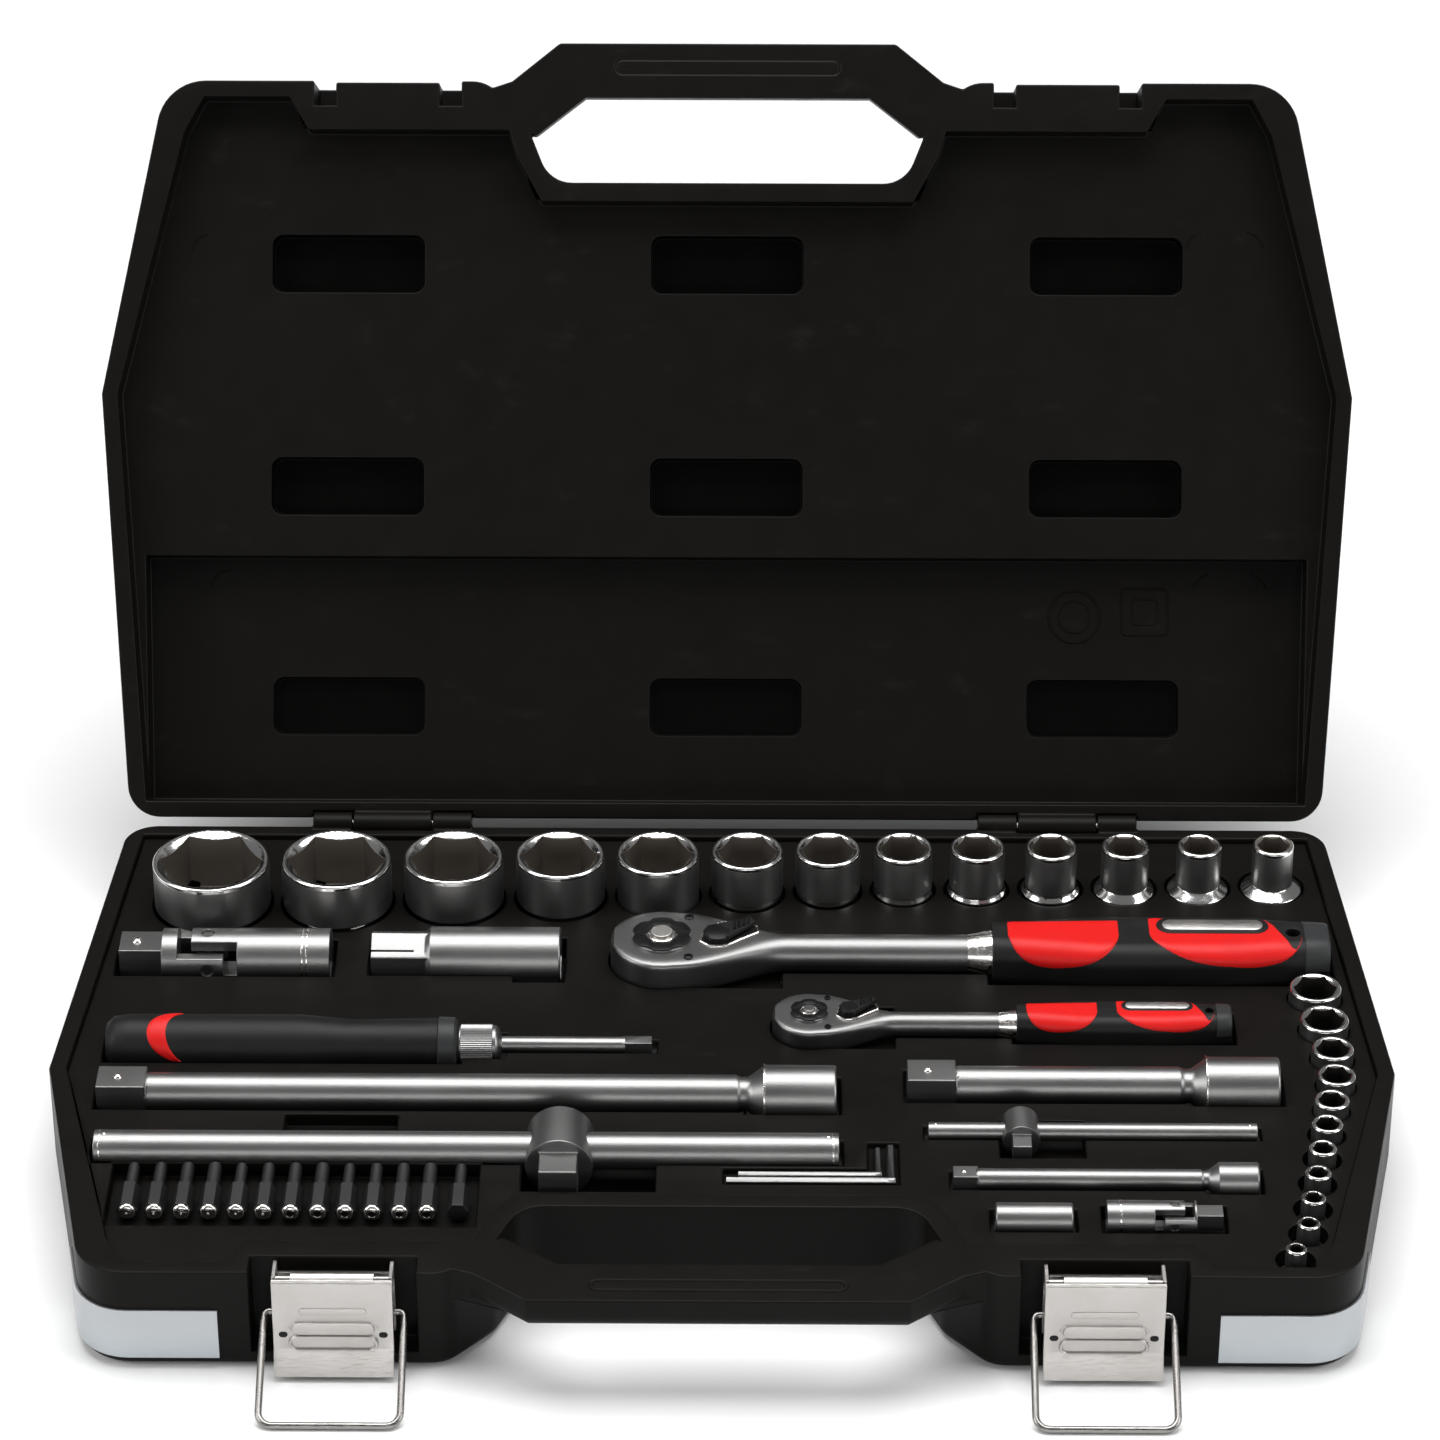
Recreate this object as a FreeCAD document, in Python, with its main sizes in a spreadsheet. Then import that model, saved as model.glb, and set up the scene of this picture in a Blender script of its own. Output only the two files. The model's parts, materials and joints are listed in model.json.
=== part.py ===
import FreeCAD, Part
import math
import os
import Sketcher
from FreeCAD import Placement, Rotation, Vector

# A socket wrench set in a folding case.
# Frame: millimetres, +Z up, origin at the centre of the underside of the base,
# +X along the hinge line, -Y towards the handle and latches. The lid stands open.

doc = FreeCAD.newDocument("SocketWrenchSet")
sheet = doc.addObject("Spreadsheet::Sheet", "Sizes")

SIZES = dict(
    # case
    caseDepth=270, halfBack=218, halfWide=229, halfFront=206, wideFromBack=155,
    baseHeight=38, lidHeight=34, wall=2.2, cornerBack=12, cornerFront=18, edgeRound=4,
    rim=6, trayDrop=2, lidFrontDepth=12, lidBackDepth=24, lidBackSection=96, bevelRun=5,
    pocketWidth=56, pocketLength=21, pocketDepth=4, pocketDeep=9, pocketPitch=139.5,
    openBackGap=37, openHalf=70, openCut=18, gripReach=14, gripHalf=61.5, gripRoot=79,
    gripWidth=20, gripDepth=12,
    openAngle=121, hingeOffset=2, hingeX=121.5, hingeWidth=58, knuckleRadius=4,
    pinRadius=1.5, runFit=0.06, sideGap=0.4,
    # latches and trims
    latchX=124.5, recessWidth=54, recessDepth=9, recessFloor=6, keeperWidth=38, keeperHeight=20,
    leverWidth=39, leverBelow=1.8, leverPivotBelow=3.7, leverPivotOut=1.8, metalSheet=1.2,
    bailPivotBelow=18, bailPivotIn=3.5, bailReach=40, bailSpan=48, bailWire=1.2,
    trimHeight=23, trimFront=44, trimThick=0.8,
    # tools: shared
    driveHalf=12.7, driveQuarter=6.35, axisBelow=1.5, slack=0.8,
    socketProud=16, socketGap=4.5, socketStart=-203.6, socketBack=27.5, socketLong=38, socketBig=42,
    driveEndHalf=22, smallProud=3, smallLong=25, smallGap=2.1, smallStart=28, smallInset=19.5,
    driveEndQuarter=11.8,
    # ratchets
    ratX=-21.5, ratY=51, ratAbove=1, headRadius=18, headThick=13, ratLength=252, gripLength=118,
    gripBroad=28, gripThick=19, shankRadius=6.6, gearRadius=10.6,
    ratSX=30, ratSY=9, ratSBelow=0.5, headSRadius=12.6, headSThick=9.5, ratSLength=158,
    gripSLength=74, gripSBroad=17, gripSThick=13, shankSRadius=4.2, gearSRadius=6.6,
    # in-line tools
    jointX=-212, jointY=51, jointLength=74, jointRadius=10, jointSX=126.5, jointSY=-101,
    jointSLength=38, jointSRadius=5.8,
    plugX=-123.5, plugY=51.5, plugLength=66.5, plugRadius=10.5,
    spinX=-211, spinY=-3, spinGrip=121, spinRadius=10, spinShaft=66, spinShaftRadius=2.9,
    extX=-211, extY=-32, extLong=250, extShortX=63, extShortY=-26, extShort=126,
    extRadius=6.6, extEndRadius=10, extSX=77, extSY=-80, extSmall=101, extSRadius=3.6, extSEndRadius=6,
    barX=-208.5, barY=-65, barLong=248, barRadius=6.3, barHeadX=-53.5, barHeadRadius=11.2,
    barHeadLength=20, barSlide=20,
    barSX=69.5, barSY=-53, barSLong=110, barSRadius=3.1, barSHeadX=100.5, barSHeadRadius=6.3,
    barSHeadLength=12, barSSlide=14,
    adapterX=90, adapterY=-102, adapterLength=25.5, adapterRadius=5.4,
    keyX=2, keyY=-80, keyLong=56, keyShort=20, keyLarge=3, keySmall=2.5,
    bitX=-194.5, bitY=-97.5, bitPitch=8.95, bitLength=25, bitFlats=6.35, bitBelow=3.4,
)


class Size:
    # a length in millimetres with the spreadsheet expression that gives it
    def __init__(self, value, text=None):
        self.value = float(value)
        self.text = repr(float(value)) if text is None else text
        self.fixed = text is None

    def _with(self, other, sign, flip=False):
        other = sized(other)
        a, b = (other, self) if flip else (self, other)
        value = {"+": a.value + b.value, "-": a.value - b.value, "*": a.value * b.value,
                 "/": a.value / b.value if b.value else 0.0}[sign]
        if a.fixed and b.fixed:
            return Size(value)
        return Size(value, f"({a.text} {sign} {b.text})")

    def __add__(self, other): return self._with(other, "+")
    def __radd__(self, other): return self._with(other, "+", True)
    def __sub__(self, other): return self._with(other, "-")
    def __rsub__(self, other): return self._with(other, "-", True)
    def __mul__(self, other): return self._with(other, "*")
    def __rmul__(self, other): return self._with(other, "*", True)
    def __truediv__(self, other): return self._with(other, "/")
    def __neg__(self): return Size(0) - self


def sized(value):
    return value if isinstance(value, Size) else Size(value)


def cosine(angle):
    return Size(math.cos(math.radians(angle.value)), f"cos({angle.text} * 1 deg)")


def sine(angle):
    return Size(math.sin(math.radians(angle.value)), f"sin({angle.text} * 1 deg)")


def root(value):
    return Size(math.sqrt(value.value), f"sqrt({value.text})")


class Table:
    pass


S = Table()
for row, (alias, number) in enumerate(SIZES.items(), start=1):
    sheet.set(f"A{row}", alias)
    sheet.set(f"B{row}", str(number))
    sheet.setAlias(f"B{row}", alias)
    setattr(S, alias, Size(number, f"Sizes.{alias}"))
doc.recompute()


def bind(thing, path, size):
    size = sized(size)
    if not size.fixed:
        thing.setExpression(path, size.text)
    return size.value


def place(thing, x=0, y=0, z=0, rotation=None):
    at = [sized(v) for v in (x, y, z)]
    thing.Placement = Placement(Vector(*(v.value for v in at)), rotation or Rotation())
    for axis, v in zip("xyz", at):
        bind(thing, f"Placement.Base.{axis}", v)
    return thing


# sketches

def fix_point(sketch, geo, pos, x, y):
    for kind, v, axis in (("DistanceX", sized(x), -2), ("DistanceY", sized(y), -1)):
        if v.fixed and abs(v.value) < 1e-9:
            sketch.addConstraint(Sketcher.Constraint("PointOnObject", geo, pos, axis))
        else:
            index = sketch.addConstraint(Sketcher.Constraint(kind, -1, 1, geo, pos, v.value))
            bind(sketch, f"Constraints[{index}]", v)


def new_sketch(owner, name, plane="XY_Plane", lift=0):
    sketch = owner.newObject("Sketcher::SketchObject",
                             name) if owner else doc.addObject("Sketcher::SketchObject", name)
    if owner:
        found = [o for o in owner.Origin.OriginFeatures if o.Role == plane][0]
        sketch.AttachmentSupport = [(found, "")]
        sketch.MapMode = "FlatFace"
        lift = sized(lift)
        sketch.AttachmentOffset = Placement(Vector(0, 0, lift.value), Rotation())
        bind(sketch, "AttachmentOffset.Base.z", lift)
    return sketch


def polygon(owner, name, points, plane="XY_Plane", lift=0):
    sketch = new_sketch(owner, name, plane, lift)
    points = [(sized(x), sized(y)) for x, y in points]
    at = [Vector(x.value, y.value, 0) for x, y in points]
    count = len(at)
    sketch.addGeometry([Part.LineSegment(at[i], at[(i + 1) % count]) for i in range(count)])
    sketch.addConstraint([Sketcher.Constraint("Coincident", i, 2, (i + 1) % count,
                                              1) for i in range(count)])
    for i, (x, y) in enumerate(points):
        fix_point(sketch, i, 1, x, y)
    return sketch


def circle(owner, name, radius, x=0, y=0, plane="XY_Plane", lift=0):
    sketch = new_sketch(owner, name, plane, lift)
    radius, x, y = sized(radius), sized(x), sized(y)
    sketch.addGeometry([Part.Circle(Vector(x.value, y.value, 0), Vector(0, 0, 1), radius.value)])
    index = sketch.addConstraint(Sketcher.Constraint("Radius", 0, radius.value))
    bind(sketch, f"Constraints[{index}]", radius)
    fix_point(sketch, 0, 3, x, y)
    return sketch


def square(side):
    h = side / 2
    return [(-h, -h), (h, -h), (h, h), (-h, h)]


def hexagon(flats):
    tip, side, half = flats * 0.57735, flats * 0.288675, flats / 2
    return [(tip, 0), (side, half), (-side, half), (-tip, 0), (-side, -half), (side, -half)]


# Part Design features

def new_body(name):
    return doc.addObject("PartDesign::Body", name)


def pad(body, sketch, length, both=False):
    feature = body.newObject("PartDesign::Pad", sketch.Name + "Pad")
    feature.Profile = sketch
    if both:
        feature.SideType = "Symmetric"
    feature.Length = bind(feature, "Length", length)
    return feature


def pocket(body, sketch, length, both=False, reverse=False):
    feature = body.newObject("PartDesign::Pocket", sketch.Name + "Pocket")
    feature.Profile = sketch
    if both:
        feature.SideType = "Symmetric"
    feature.Reversed = reverse
    feature.Length = bind(feature, "Length", length)
    return feature


def spin(body, sketch, cut=False, axis="V_Axis"):
    feature = body.newObject("PartDesign::" + ("Groove" if cut else "Revolution"), sketch.Name + "Spin")
    feature.Profile = sketch
    feature.ReferenceAxis = (sketch, [axis])
    feature.Angle = 360
    return feature


def round_edges(body, feature, radius, chosen):
    doc.recompute()
    names = [f"Edge{i}" for i, edge in enumerate(feature.Shape.Edges, start=1) if chosen(edge)]
    rounded = body.newObject("PartDesign::Fillet", f"{body.Name}Round{len(body.Group)}")
    rounded.Base = (feature, names)
    rounded.Radius = bind(rounded, "Radius", radius)
    return rounded


# Part primitives and booleans

def box(name, x0, x1, y0, y1, z0, z1):
    made = doc.addObject("Part::Box", name)
    for path, low, high in (("Length", x0, x1), ("Width", y0, y1), ("Height", z0, z1)):
        setattr(made, path, bind(made, path, sized(high) - low))
    return place(made, x0, y0, z0)


def span(centre, width):
    # both ends of a width about its centre
    return centre - width / 2, centre + width / 2


TURN = {"x": Rotation(Vector(0, 1, 0), 90), "y": Rotation(Vector(1, 0, 0), -90), "z": Rotation()}


def rod(name, axis, radius, length, x, y, z):
    made = doc.addObject("Part::Cylinder", name)
    made.Radius = bind(made, "Radius", radius)
    made.Height = bind(made, "Height", length)
    return place(made, x, y, z, TURN[axis])


def prism(name, points, z0, z1):
    sketch = polygon(None, name + "Outline", points)
    place(sketch, 0, 0, z0)
    made = doc.addObject("Part::Extrusion", name)
    made.Base = sketch
    made.DirMode = "Custom"
    made.Dir = Vector(0, 0, 1)
    made.Solid = True
    made.LengthFwd = bind(made, "LengthFwd", sized(z1) - z0)
    return made


def fuse(name, *shapes):
    made = doc.addObject("Part::MultiFuse", name)
    made.Shapes = list(shapes)
    return made


def cut(name, base, tool):
    made = doc.addObject("Part::Cut", name)
    made.Base, made.Tool = base, tool
    return made


def carve(name, base, *tools):
    # one cut after another
    for count, tool in enumerate(tools, start=1):
        base = cut(f"{name}{count}", base, tool)
    return base


def common(name, *shapes):
    made = doc.addObject("Part::MultiCommon", name)
    made.Shapes = list(shapes)
    return made


def pair(name, *shapes):
    made = doc.addObject("Part::Compound", name)
    made.Links = list(shapes)
    return made


nodes = {}


def node(name, thing):
    thing.Label = name
    nodes[name] = thing
    return thing


# case plan shape

back = S.caseDepth / 2
front = -back
wide = back - S.wideFromBack
openBack = front + S.openBackGap
axisHeight = S.baseHeight - S.axisBelow      # centre line of the tools that lie in the tray
socketTop = S.baseHeight + S.socketProud
smallTop = S.baseHeight + S.smallProud
bitZ = S.baseHeight - S.bitBelow
leverTop = S.baseHeight - S.leverBelow
leverPivotZ = S.baseHeight - S.leverPivotBelow
bailPivotZ = S.baseHeight - S.bailPivotBelow


def half_width(y):
    # half the case's width at a given Y in front of or behind its widest line
    y = sized(y)
    if y.value >= wide.value:
        return S.halfWide - (S.halfWide - S.halfBack) * (y - wide) / (back - wide)
    return S.halfWide - (S.halfWide - S.halfFront) * (wide - y) / (wide - front)


def mirrored(right):
    return right + [(-x, y) for x, y in reversed(right)]


def outline(grow):
    return mirrored([
        (S.halfBack + grow, back + grow), (S.halfWide + grow, wide), (S.halfFront + grow, front - grow),
        (S.gripRoot + 9 - grow, front - grow), (S.openHalf + 3 - grow, front + 17),
                     (S.openHalf - 5 - grow, openBack - grow)])


def tray_outline(grow):
    rim = S.rim - grow
    return mirrored([
        (S.halfBack - rim, back - rim), (S.halfWide - rim, wide), (S.halfFront - rim - 1, front + 13 + rim),
        (S.halfFront - rim - 8, front + rim), (S.latchX + 36, front + rim),
                     (S.latchX + 29 + grow, front + 12 + rim),
        (S.gripRoot + 1, front + 12 + rim), (S.openHalf + 7, front + 22 + rim),
                     (S.openHalf - 2 + grow, openBack + 1 + rim)])


def upright(edge):
    a, b = edge.Vertexes[0].Point, edge.Vertexes[-1].Point
    return abs(a.x - b.x) < 1e-4 and abs(a.y - b.y) < 1e-4 and abs(a.z - b.z) > 1


def moulding(name, z0, height, outer_face, grow=0, edges=True):
    # the outer block of one case half, with its upright corners and outer edge rounded
    body = new_body(name)
    block = pad(body, polygon(body, name + "Plan", outline(sized(grow)), lift=z0), height)
    doc.recompute()
    y_front, y_back = front.value - sized(grow).value, back.value + sized(grow).value
    corner = lambda edge, y, x: (upright(edge) and abs(edge.Vertexes[0].Y - y) < 0.01
                                 and abs(edge.Vertexes[0].X) > x)
    block = round_edges(body, block, S.cornerBack + grow, lambda e: corner(e, y_back, 0))
    block = round_edges(body, block, S.cornerFront + grow, lambda e: corner(e, y_front, 150))
    block = round_edges(body, block, S.cornerBack, lambda e: upright(e) and abs(e.Vertexes[0].X) < 95)
    if edges:
        z = (sized(z0) + (height if outer_face > 0 else 0)).value
        block = round_edges(body, block, S.edgeRound,
                            lambda e: all(abs(v.Z - z) < 0.01 for v in e.Vertexes) and abs(e.CenterOfMass.z - z) < 0.01)
    body.Tip = block
    return body


# wells for the tools

trayTop = S.baseHeight - S.trayDrop
wells, walls = [], []
serial = [0]


def well_name(kind):
    serial[0] += 1
    return f"{kind}{serial[0]}"


def box_well(x0, x1, y0, y1, depth_z):
    t = S.wall
    wells.append(box(well_name("Well"), x0, x1, y0, y1, depth_z, S.baseHeight + 1))
    walls.append(box(well_name("Wall"), sized(x0) - t, sized(x1) + t, sized(y0) - t, sized(y1) + t,
                     sized(depth_z) - t, S.baseHeight + 2))


def round_well(radius, x, y, z0):
    t = S.wall
    wells.append(rod(well_name("Well"), "z", radius, S.baseHeight + 1 - z0, x, y, z0))
    walls.append(rod(well_name("Wall"), "z", sized(radius) + t, S.baseHeight + 2 - z0 + t, x, y,
                     sized(z0) - t))


def long_well(radius, x0, x1, y, z=None):
    z, t = sized(axisHeight if z is None else z), S.wall
    wells.append(rod(well_name("Well"), "x", radius, sized(x1) - x0, x0, y, z))
    walls.append(rod(well_name("Wall"), "x", sized(radius) + t, sized(x1) - x0 + 2 * t, sized(x0) - t, y,
                     z))


# sockets

def socket(name, flats, drive, outer, drive_end, length, hex_depth, drive_depth, waist, x, y, z):
    body = new_body(name)
    ro, rd = outer / 2, drive_end / 2
    chamfer = 0.5
    profile = [(0, 0), (rd - chamfer, 0), (rd, chamfer), (rd, waist), (ro, waist + 2.5),
               (ro, length - chamfer),
               (ro - chamfer, length), (flats * 0.59, length), (flats / 2, length - flats * 0.045 - 0.3),
               (0, length - flats * 0.045 - 0.3)]
    spin(body, polygon(body, name + "Profile", profile, "XZ_Plane"))
    pocket(body, polygon(body, name + "Hex", hexagon(flats), lift=length), hex_depth)
    pocket(body, polygon(body, name + "Drive", square(drive)), drive_depth, reverse=True)
    bore = flats * 0.42 if flats.value < drive.value else drive * 0.45
    pocket(body, circle(body, name + "Bore", bore, lift=length), length - 1)
    place(body, x, y, z)
    return node(name, body)


HALF_SOCKETS = (32, 30, 27, 24, 22, 19, 17, 15, 14, 13, 12, 11, 10)
rowX = S.socketStart
for flats in HALF_SOCKETS:
    size = Size(flats)
    outer = size * 1.22 + 2.4
    end = S.driveEndHalf if outer.value < 24 else (outer if outer.value < 31 else outer - 7)
    foot = outer if outer.value > S.driveEndHalf.value else S.driveEndHalf
    length = S.socketBig if flats >= 22 else S.socketLong
    x, y = rowX + foot / 2, back - S.socketBack - outer / 2
    bottom = socketTop - length
    waist = length - (18.5 if outer.value < 22 else 20)
    socket(f"socket_half_{flats}", size, S.driveHalf, outer, end, length, size * 0.55 + 4, Size(13), waist,
           x, y, bottom)
    round_well(foot / 2 + S.slack, x, y, bottom)
    rowX = rowX + foot + S.socketGap

QUARTER_SOCKETS = (13, 12, 10, 9, 8, 7, 6, 5.5, 5, 4.5, 4)
y = S.smallStart
previous = None
for flats in QUARTER_SOCKETS:
    size = Size(flats)
    outer = size * 1.25 + 1.8
    foot = outer if outer.value > S.driveEndQuarter.value else S.driveEndQuarter
    if previous is not None:
        y = y - (previous + foot) / 2 - S.smallGap
    previous = foot
    x = half_width(y) - S.smallInset - (2.5 if y.value < front.value + 25 else 0)
    end = foot
    label = str(flats).replace(".", "_")
    socket(f"socket_quarter_{label}", size, S.driveQuarter, outer, end, S.smallLong, size * 0.5 + 3,
           Size(8),
           S.smallLong - 11, x, y, smallTop - S.smallLong)
    round_well(foot / 2 + 0.5, x, y, smallTop - S.smallLong)


# ratchets

def ratchet(prefix, x, y, z, head, thick, total, grip_length, broad, grip_thick, shank, gear, drive,
            drive_long, has_button):
    # z is the middle of the head; the square drive points down
    end = x - head + total
    grip_start = end - grip_length
    low, high = z - thick / 2, z + thick / 2
    disc = rod(prefix + "Disc", "z", head, thick, x, y, low)
    neck = prism(prefix + "Neck", [(x, y - head * 0.93), (x + head * 1.1, y - head * 0.62),
                                   (x + head * 2.35, y - shank * 0.95),
                                   (x + head * 2.35, y + shank * 0.95), (x + head * 1.1, y + head * 0.62),
                                   (x, y + head * 0.93)],
                 low + 0.8, high - 0.8)
    rodx = rod(prefix + "Rod", "x", shank, grip_start + 12 - x - head * 2, x + head * 2, y, z)
    plate = rod(prefix + "Plate", "z", head * 0.86, 1.2, x, y, high - 0.4)
    solid = fuse(prefix + "Blank", disc, neck, rodx, plate)
    bore = rod(prefix + "Bore", "z", gear + S.runFit, thick + 6, x, y, low - 2)
    lever_x = x + head * 1.08
    hole = rod(prefix + "LeverHole", "z", head * 0.17 + S.runFit, thick, lever_x, y, z)
    node(prefix + "_body", cut(prefix + "Body", solid, fuse(prefix + "Holes", bore, hole)))

    # the gear runs in the head and carries the square drive
    ring = rod(prefix + "GearRing", "z", gear, thick + 0.8, x, y, low)
    square_drive = box(prefix + "Square", *span(x, drive), *span(y, drive), low - drive_long, low + 1)
    button_r = drive * 0.3
    if has_button:
        release = rod(prefix + "Release", "z", button_r + S.runFit, thick + 3, x, y, low + 2)
        node(prefix + "_gear", cut(prefix + "Gear", fuse(prefix + "GearBlank", ring, square_drive),
                                   release))
        node(prefix + "_button", rod(prefix + "Button", "z", button_r, thick - 1.8, x, y, low + 4.4))
    else:
        boss = rod(prefix + "Boss", "z", button_r, Size(1), x, y, high + 0.8)
        node(prefix + "_gear", fuse(prefix + "Gear", ring, square_drive, boss))

    # reversing lever on its own pin
    pin = rod(prefix + "LeverPin", "z", head * 0.17, thick / 2, lever_x, y, z + 0.3)
    tab = prism(prefix + "Tab", [(lever_x - head * 0.2, y - head * 0.2),
                                 (lever_x + head * 0.22, y - head * 0.18),
                                 (lever_x + head * 0.75, y + head * 0.34),
                                 (lever_x + head * 0.66, y + head * 0.5),
                                 (lever_x - head * 0.2, y + head * 0.2)], high + 0.95, high + 2.6)
    stem = rod(prefix + "LeverStem", "z", head * 0.17, 3, lever_x, y, high - 1)
    node(prefix + "_lever", fuse(prefix + "Lever", pin, tab, stem))

    # moulded grip over the end of the handle
    body = new_body(prefix + "Grip")
    b = broad / 2
    plan = [(0, -b * 0.72), (grip_length * 0.12, -b * 0.8), (grip_length * 0.3, -b),
            (grip_length * 0.7, -b), (grip_length, -b * 0.74),
            (grip_length, b * 0.74), (grip_length * 0.7, b), (grip_length * 0.3, b),
            (grip_length * 0.12, b * 0.8), (0, b * 0.72)]
    block = pad(body, polygon(body, prefix + "GripPlan", plan), grip_thick, both=True)
    doc.recompute()
    block = round_edges(body, block, grip_thick * 0.36,
                        lambda e: not upright(e) and abs(e.Vertexes[0].X - e.Vertexes[-1].X) > 0.5)
    pocket(body, circle(body, prefix + "Bore", shank + 0.02, plane="YZ_Plane", lift=-1), Size(13),
           reverse=True)
    hang = pocket(body, circle(body, prefix + "Hang", broad * 0.09, x=grip_length - broad * 0.45),
                  grip_thick * 2, both=True)
    body.Tip = hang
    place(body, grip_start, y, z)
    node(prefix + "_grip", body)

    # well: head, drive, neck, shank and grip
    c = S.slack
    round_well(head + c, x, y, low - c)
    round_well(drive * 0.72 + c, x, y, low - drive_long - c)
    box_well(x, x + head * 2.35, y - head * 0.93 - c, y + head * 0.93 + c, low - c)
    box_well(x + head * 2.3, grip_start + 1, y - shank - 2 * c, y + shank + 2 * c, z - shank - c)
    box_well(grip_start - 1.5, end + 1.5, y - b - c, y + b + c, z - grip_thick / 2 - c)


ratchet("ratchet_half", S.ratX, S.ratY, S.baseHeight + S.ratAbove, S.headRadius, S.headThick, S.ratLength,
        S.gripLength, S.gripBroad,
        S.gripThick, S.shankRadius, S.gearRadius, S.driveHalf, Size(14), True)
ratchet("ratchet_quarter", S.ratSX, S.ratSY, S.baseHeight - S.ratSBelow, S.headSRadius, S.headSThick,
        S.ratSLength, S.gripSLength,
        S.gripSBroad, S.gripSThick, S.shankSRadius, S.gearSRadius, S.driveQuarter, Size(7.5), False)


# universal joints

def universal_joint(prefix, x, y, radius, length, drive, male_left):
    # the barrel has two prongs above and below, the square end has them front and back;
    # a cross with two pins joins them. Built along X, barrel at high local X, then turned.
    z = axisHeight
    centre = x + length * (0.42 if male_left else 0.58)
    r, pin, c = radius, radius * 0.22, S.sideGap
    lug = radius * 0.95
    start, stop = (centre + lug + 1, x + length) if male_left else (x, centre - lug - 1)
    left, right = (centre - lug * 0.6, start + 1) if male_left else (stop - 1, centre + lug * 0.6)
    barrel = rod(prefix + "BarrelRod", "x", r, stop - start, start, y, z)
    # barrel prongs: slices of a cylinder above and below
    stock = rod(prefix + "ProngStock", "x", r, right - left, left, y, z)
    slot = box(prefix + "ProngSlot", left - 1, right + 1, y - r - 1, y + r + 1, z - r * 0.5, z + r * 0.5)
    side_a = box(prefix + "ProngSideA", left - 1, right + 1, y + r * 0.46, y + r + 1, z - r - 1, z + r + 1)
    side_b = box(prefix + "ProngSideB", left - 1, right + 1, y - r - 1, y - r * 0.46, z - r - 1, z + r + 1)
    prongs = cut(prefix + "Prongs", stock, fuse(prefix + "ProngCuts", slot, side_a, side_b))
    hole_v = rod(prefix + "HoleV", "z", pin + S.runFit, r * 2 + 4, centre, y, z - r - 2)
    if male_left:
        socket_cut = box(prefix + "Female", stop - r * 1.4, stop + 1, *span(y, drive), *span(z, drive))
    else:
        socket_cut = box(prefix + "Female", start - 1, start + r * 1.4, *span(y, drive), *span(z, drive))
    node(prefix + "_barrel", cut(prefix + "Barrel", fuse(prefix + "BarrelBlank", barrel, prongs),
                                 fuse(prefix + "BarrelCuts", hole_v, socket_cut)))

    # square-ended fork: prongs in front and behind
    fork_near, fork_far = (x + r * 1.5, centre + lug * 0.6) if male_left else (centre - lug * 0.6,
                                                                               x + length - r * 1.5)
    bridge = (centre - lug - 1 if male_left else centre + lug + 1)
    fork_stock = rod(prefix + "ForkStock", "x", r * 0.98, fork_far - fork_near, fork_near, y, z)
    slot_lo, slot_hi = (bridge, fork_far + 1) if male_left else (fork_near - 1, bridge)
    fork_slot = box(prefix + "ForkSlot", slot_lo, slot_hi, y - r * 0.5, y + r * 0.5, z - r - 1, z + r + 1)
    fork_a = box(prefix + "ForkSideA", slot_lo, slot_hi, y - r - 1, y + r + 1, z + r * 0.44, z + r + 1)
    fork_b = box(prefix + "ForkSideB", slot_lo, slot_hi, y - r - 1, y + r + 1, z - r - 1, z - r * 0.44)
    fork = cut(prefix + "ForkProngs", fork_stock, fuse(prefix + "ForkCuts", fork_slot, fork_a, fork_b))
    s0, s1 = (x, fork_near + 1) if male_left else (fork_far - 1, x + length)
    tang = box(prefix + "Tang", s0, s1, *span(y, drive - 0.2), *span(z, drive - 0.2))
    hole_h = rod(prefix + "HoleH", "y", pin + S.runFit, r * 2 + 4, centre, y - r - 2, z)
    node(prefix + "_fork", cut(prefix + "Fork", fuse(prefix + "ForkBlank", fork, tang), hole_h))

    # the cross that both forks turn on
    core = box(prefix + "Core", *span(centre, r * 0.76), *span(y, r * 0.76), *span(z, r * 0.76))
    pin_v = rod(prefix + "PinV", "z", pin, r * 1.76, centre, y, z - r * 0.88)
    pin_h = rod(prefix + "PinH", "y", pin, r * 1.76, centre, y - r * 0.88, z)
    node(prefix + "_cross", fuse(prefix + "Cross", core, pin_v, pin_h))
    box_well(x - 1.5, x + length + 1.5, y - r - 1.6, y + r + 1.6, z - r - S.slack)


universal_joint("joint_half", S.jointX, S.jointY, S.jointRadius, S.jointLength, S.driveHalf, True)
universal_joint("joint_quarter", S.jointSX, S.jointSY, S.jointSRadius, S.jointSLength, S.driveQuarter,
                False)

# spark plug socket

body = new_body("PlugSocket")
hexEnd = Size(21)
spin(body, polygon(body, "PlugProfile", [(0, 0), (S.plugRadius - 0.5, 0), (S.plugRadius, 0.5),
                                         (S.plugRadius, S.plugLength - hexEnd),
                                         (S.plugRadius - 1.4, S.plugLength - hexEnd + 2),
                                         (0, S.plugLength - hexEnd + 2)], "XZ_Plane"))
pad(body, polygon(body, "PlugHexEnd", hexagon(Size(17)), lift=S.plugLength - hexEnd), hexEnd)
pocket(body, polygon(body, "PlugDrive", square(S.driveHalf), lift=S.plugLength), Size(15))
pocket(body, polygon(body, "PlugMouth", hexagon(Size(16))), Size(38), reverse=True)
place(body, S.plugX + S.plugLength, S.plugY, axisHeight, Rotation(Vector(0, 1, 0), -90))
node("spark_plug_socket", body)
long_well(S.plugRadius + S.slack, S.plugX - 1, S.plugX + S.plugLength + 1, S.plugY)
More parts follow.
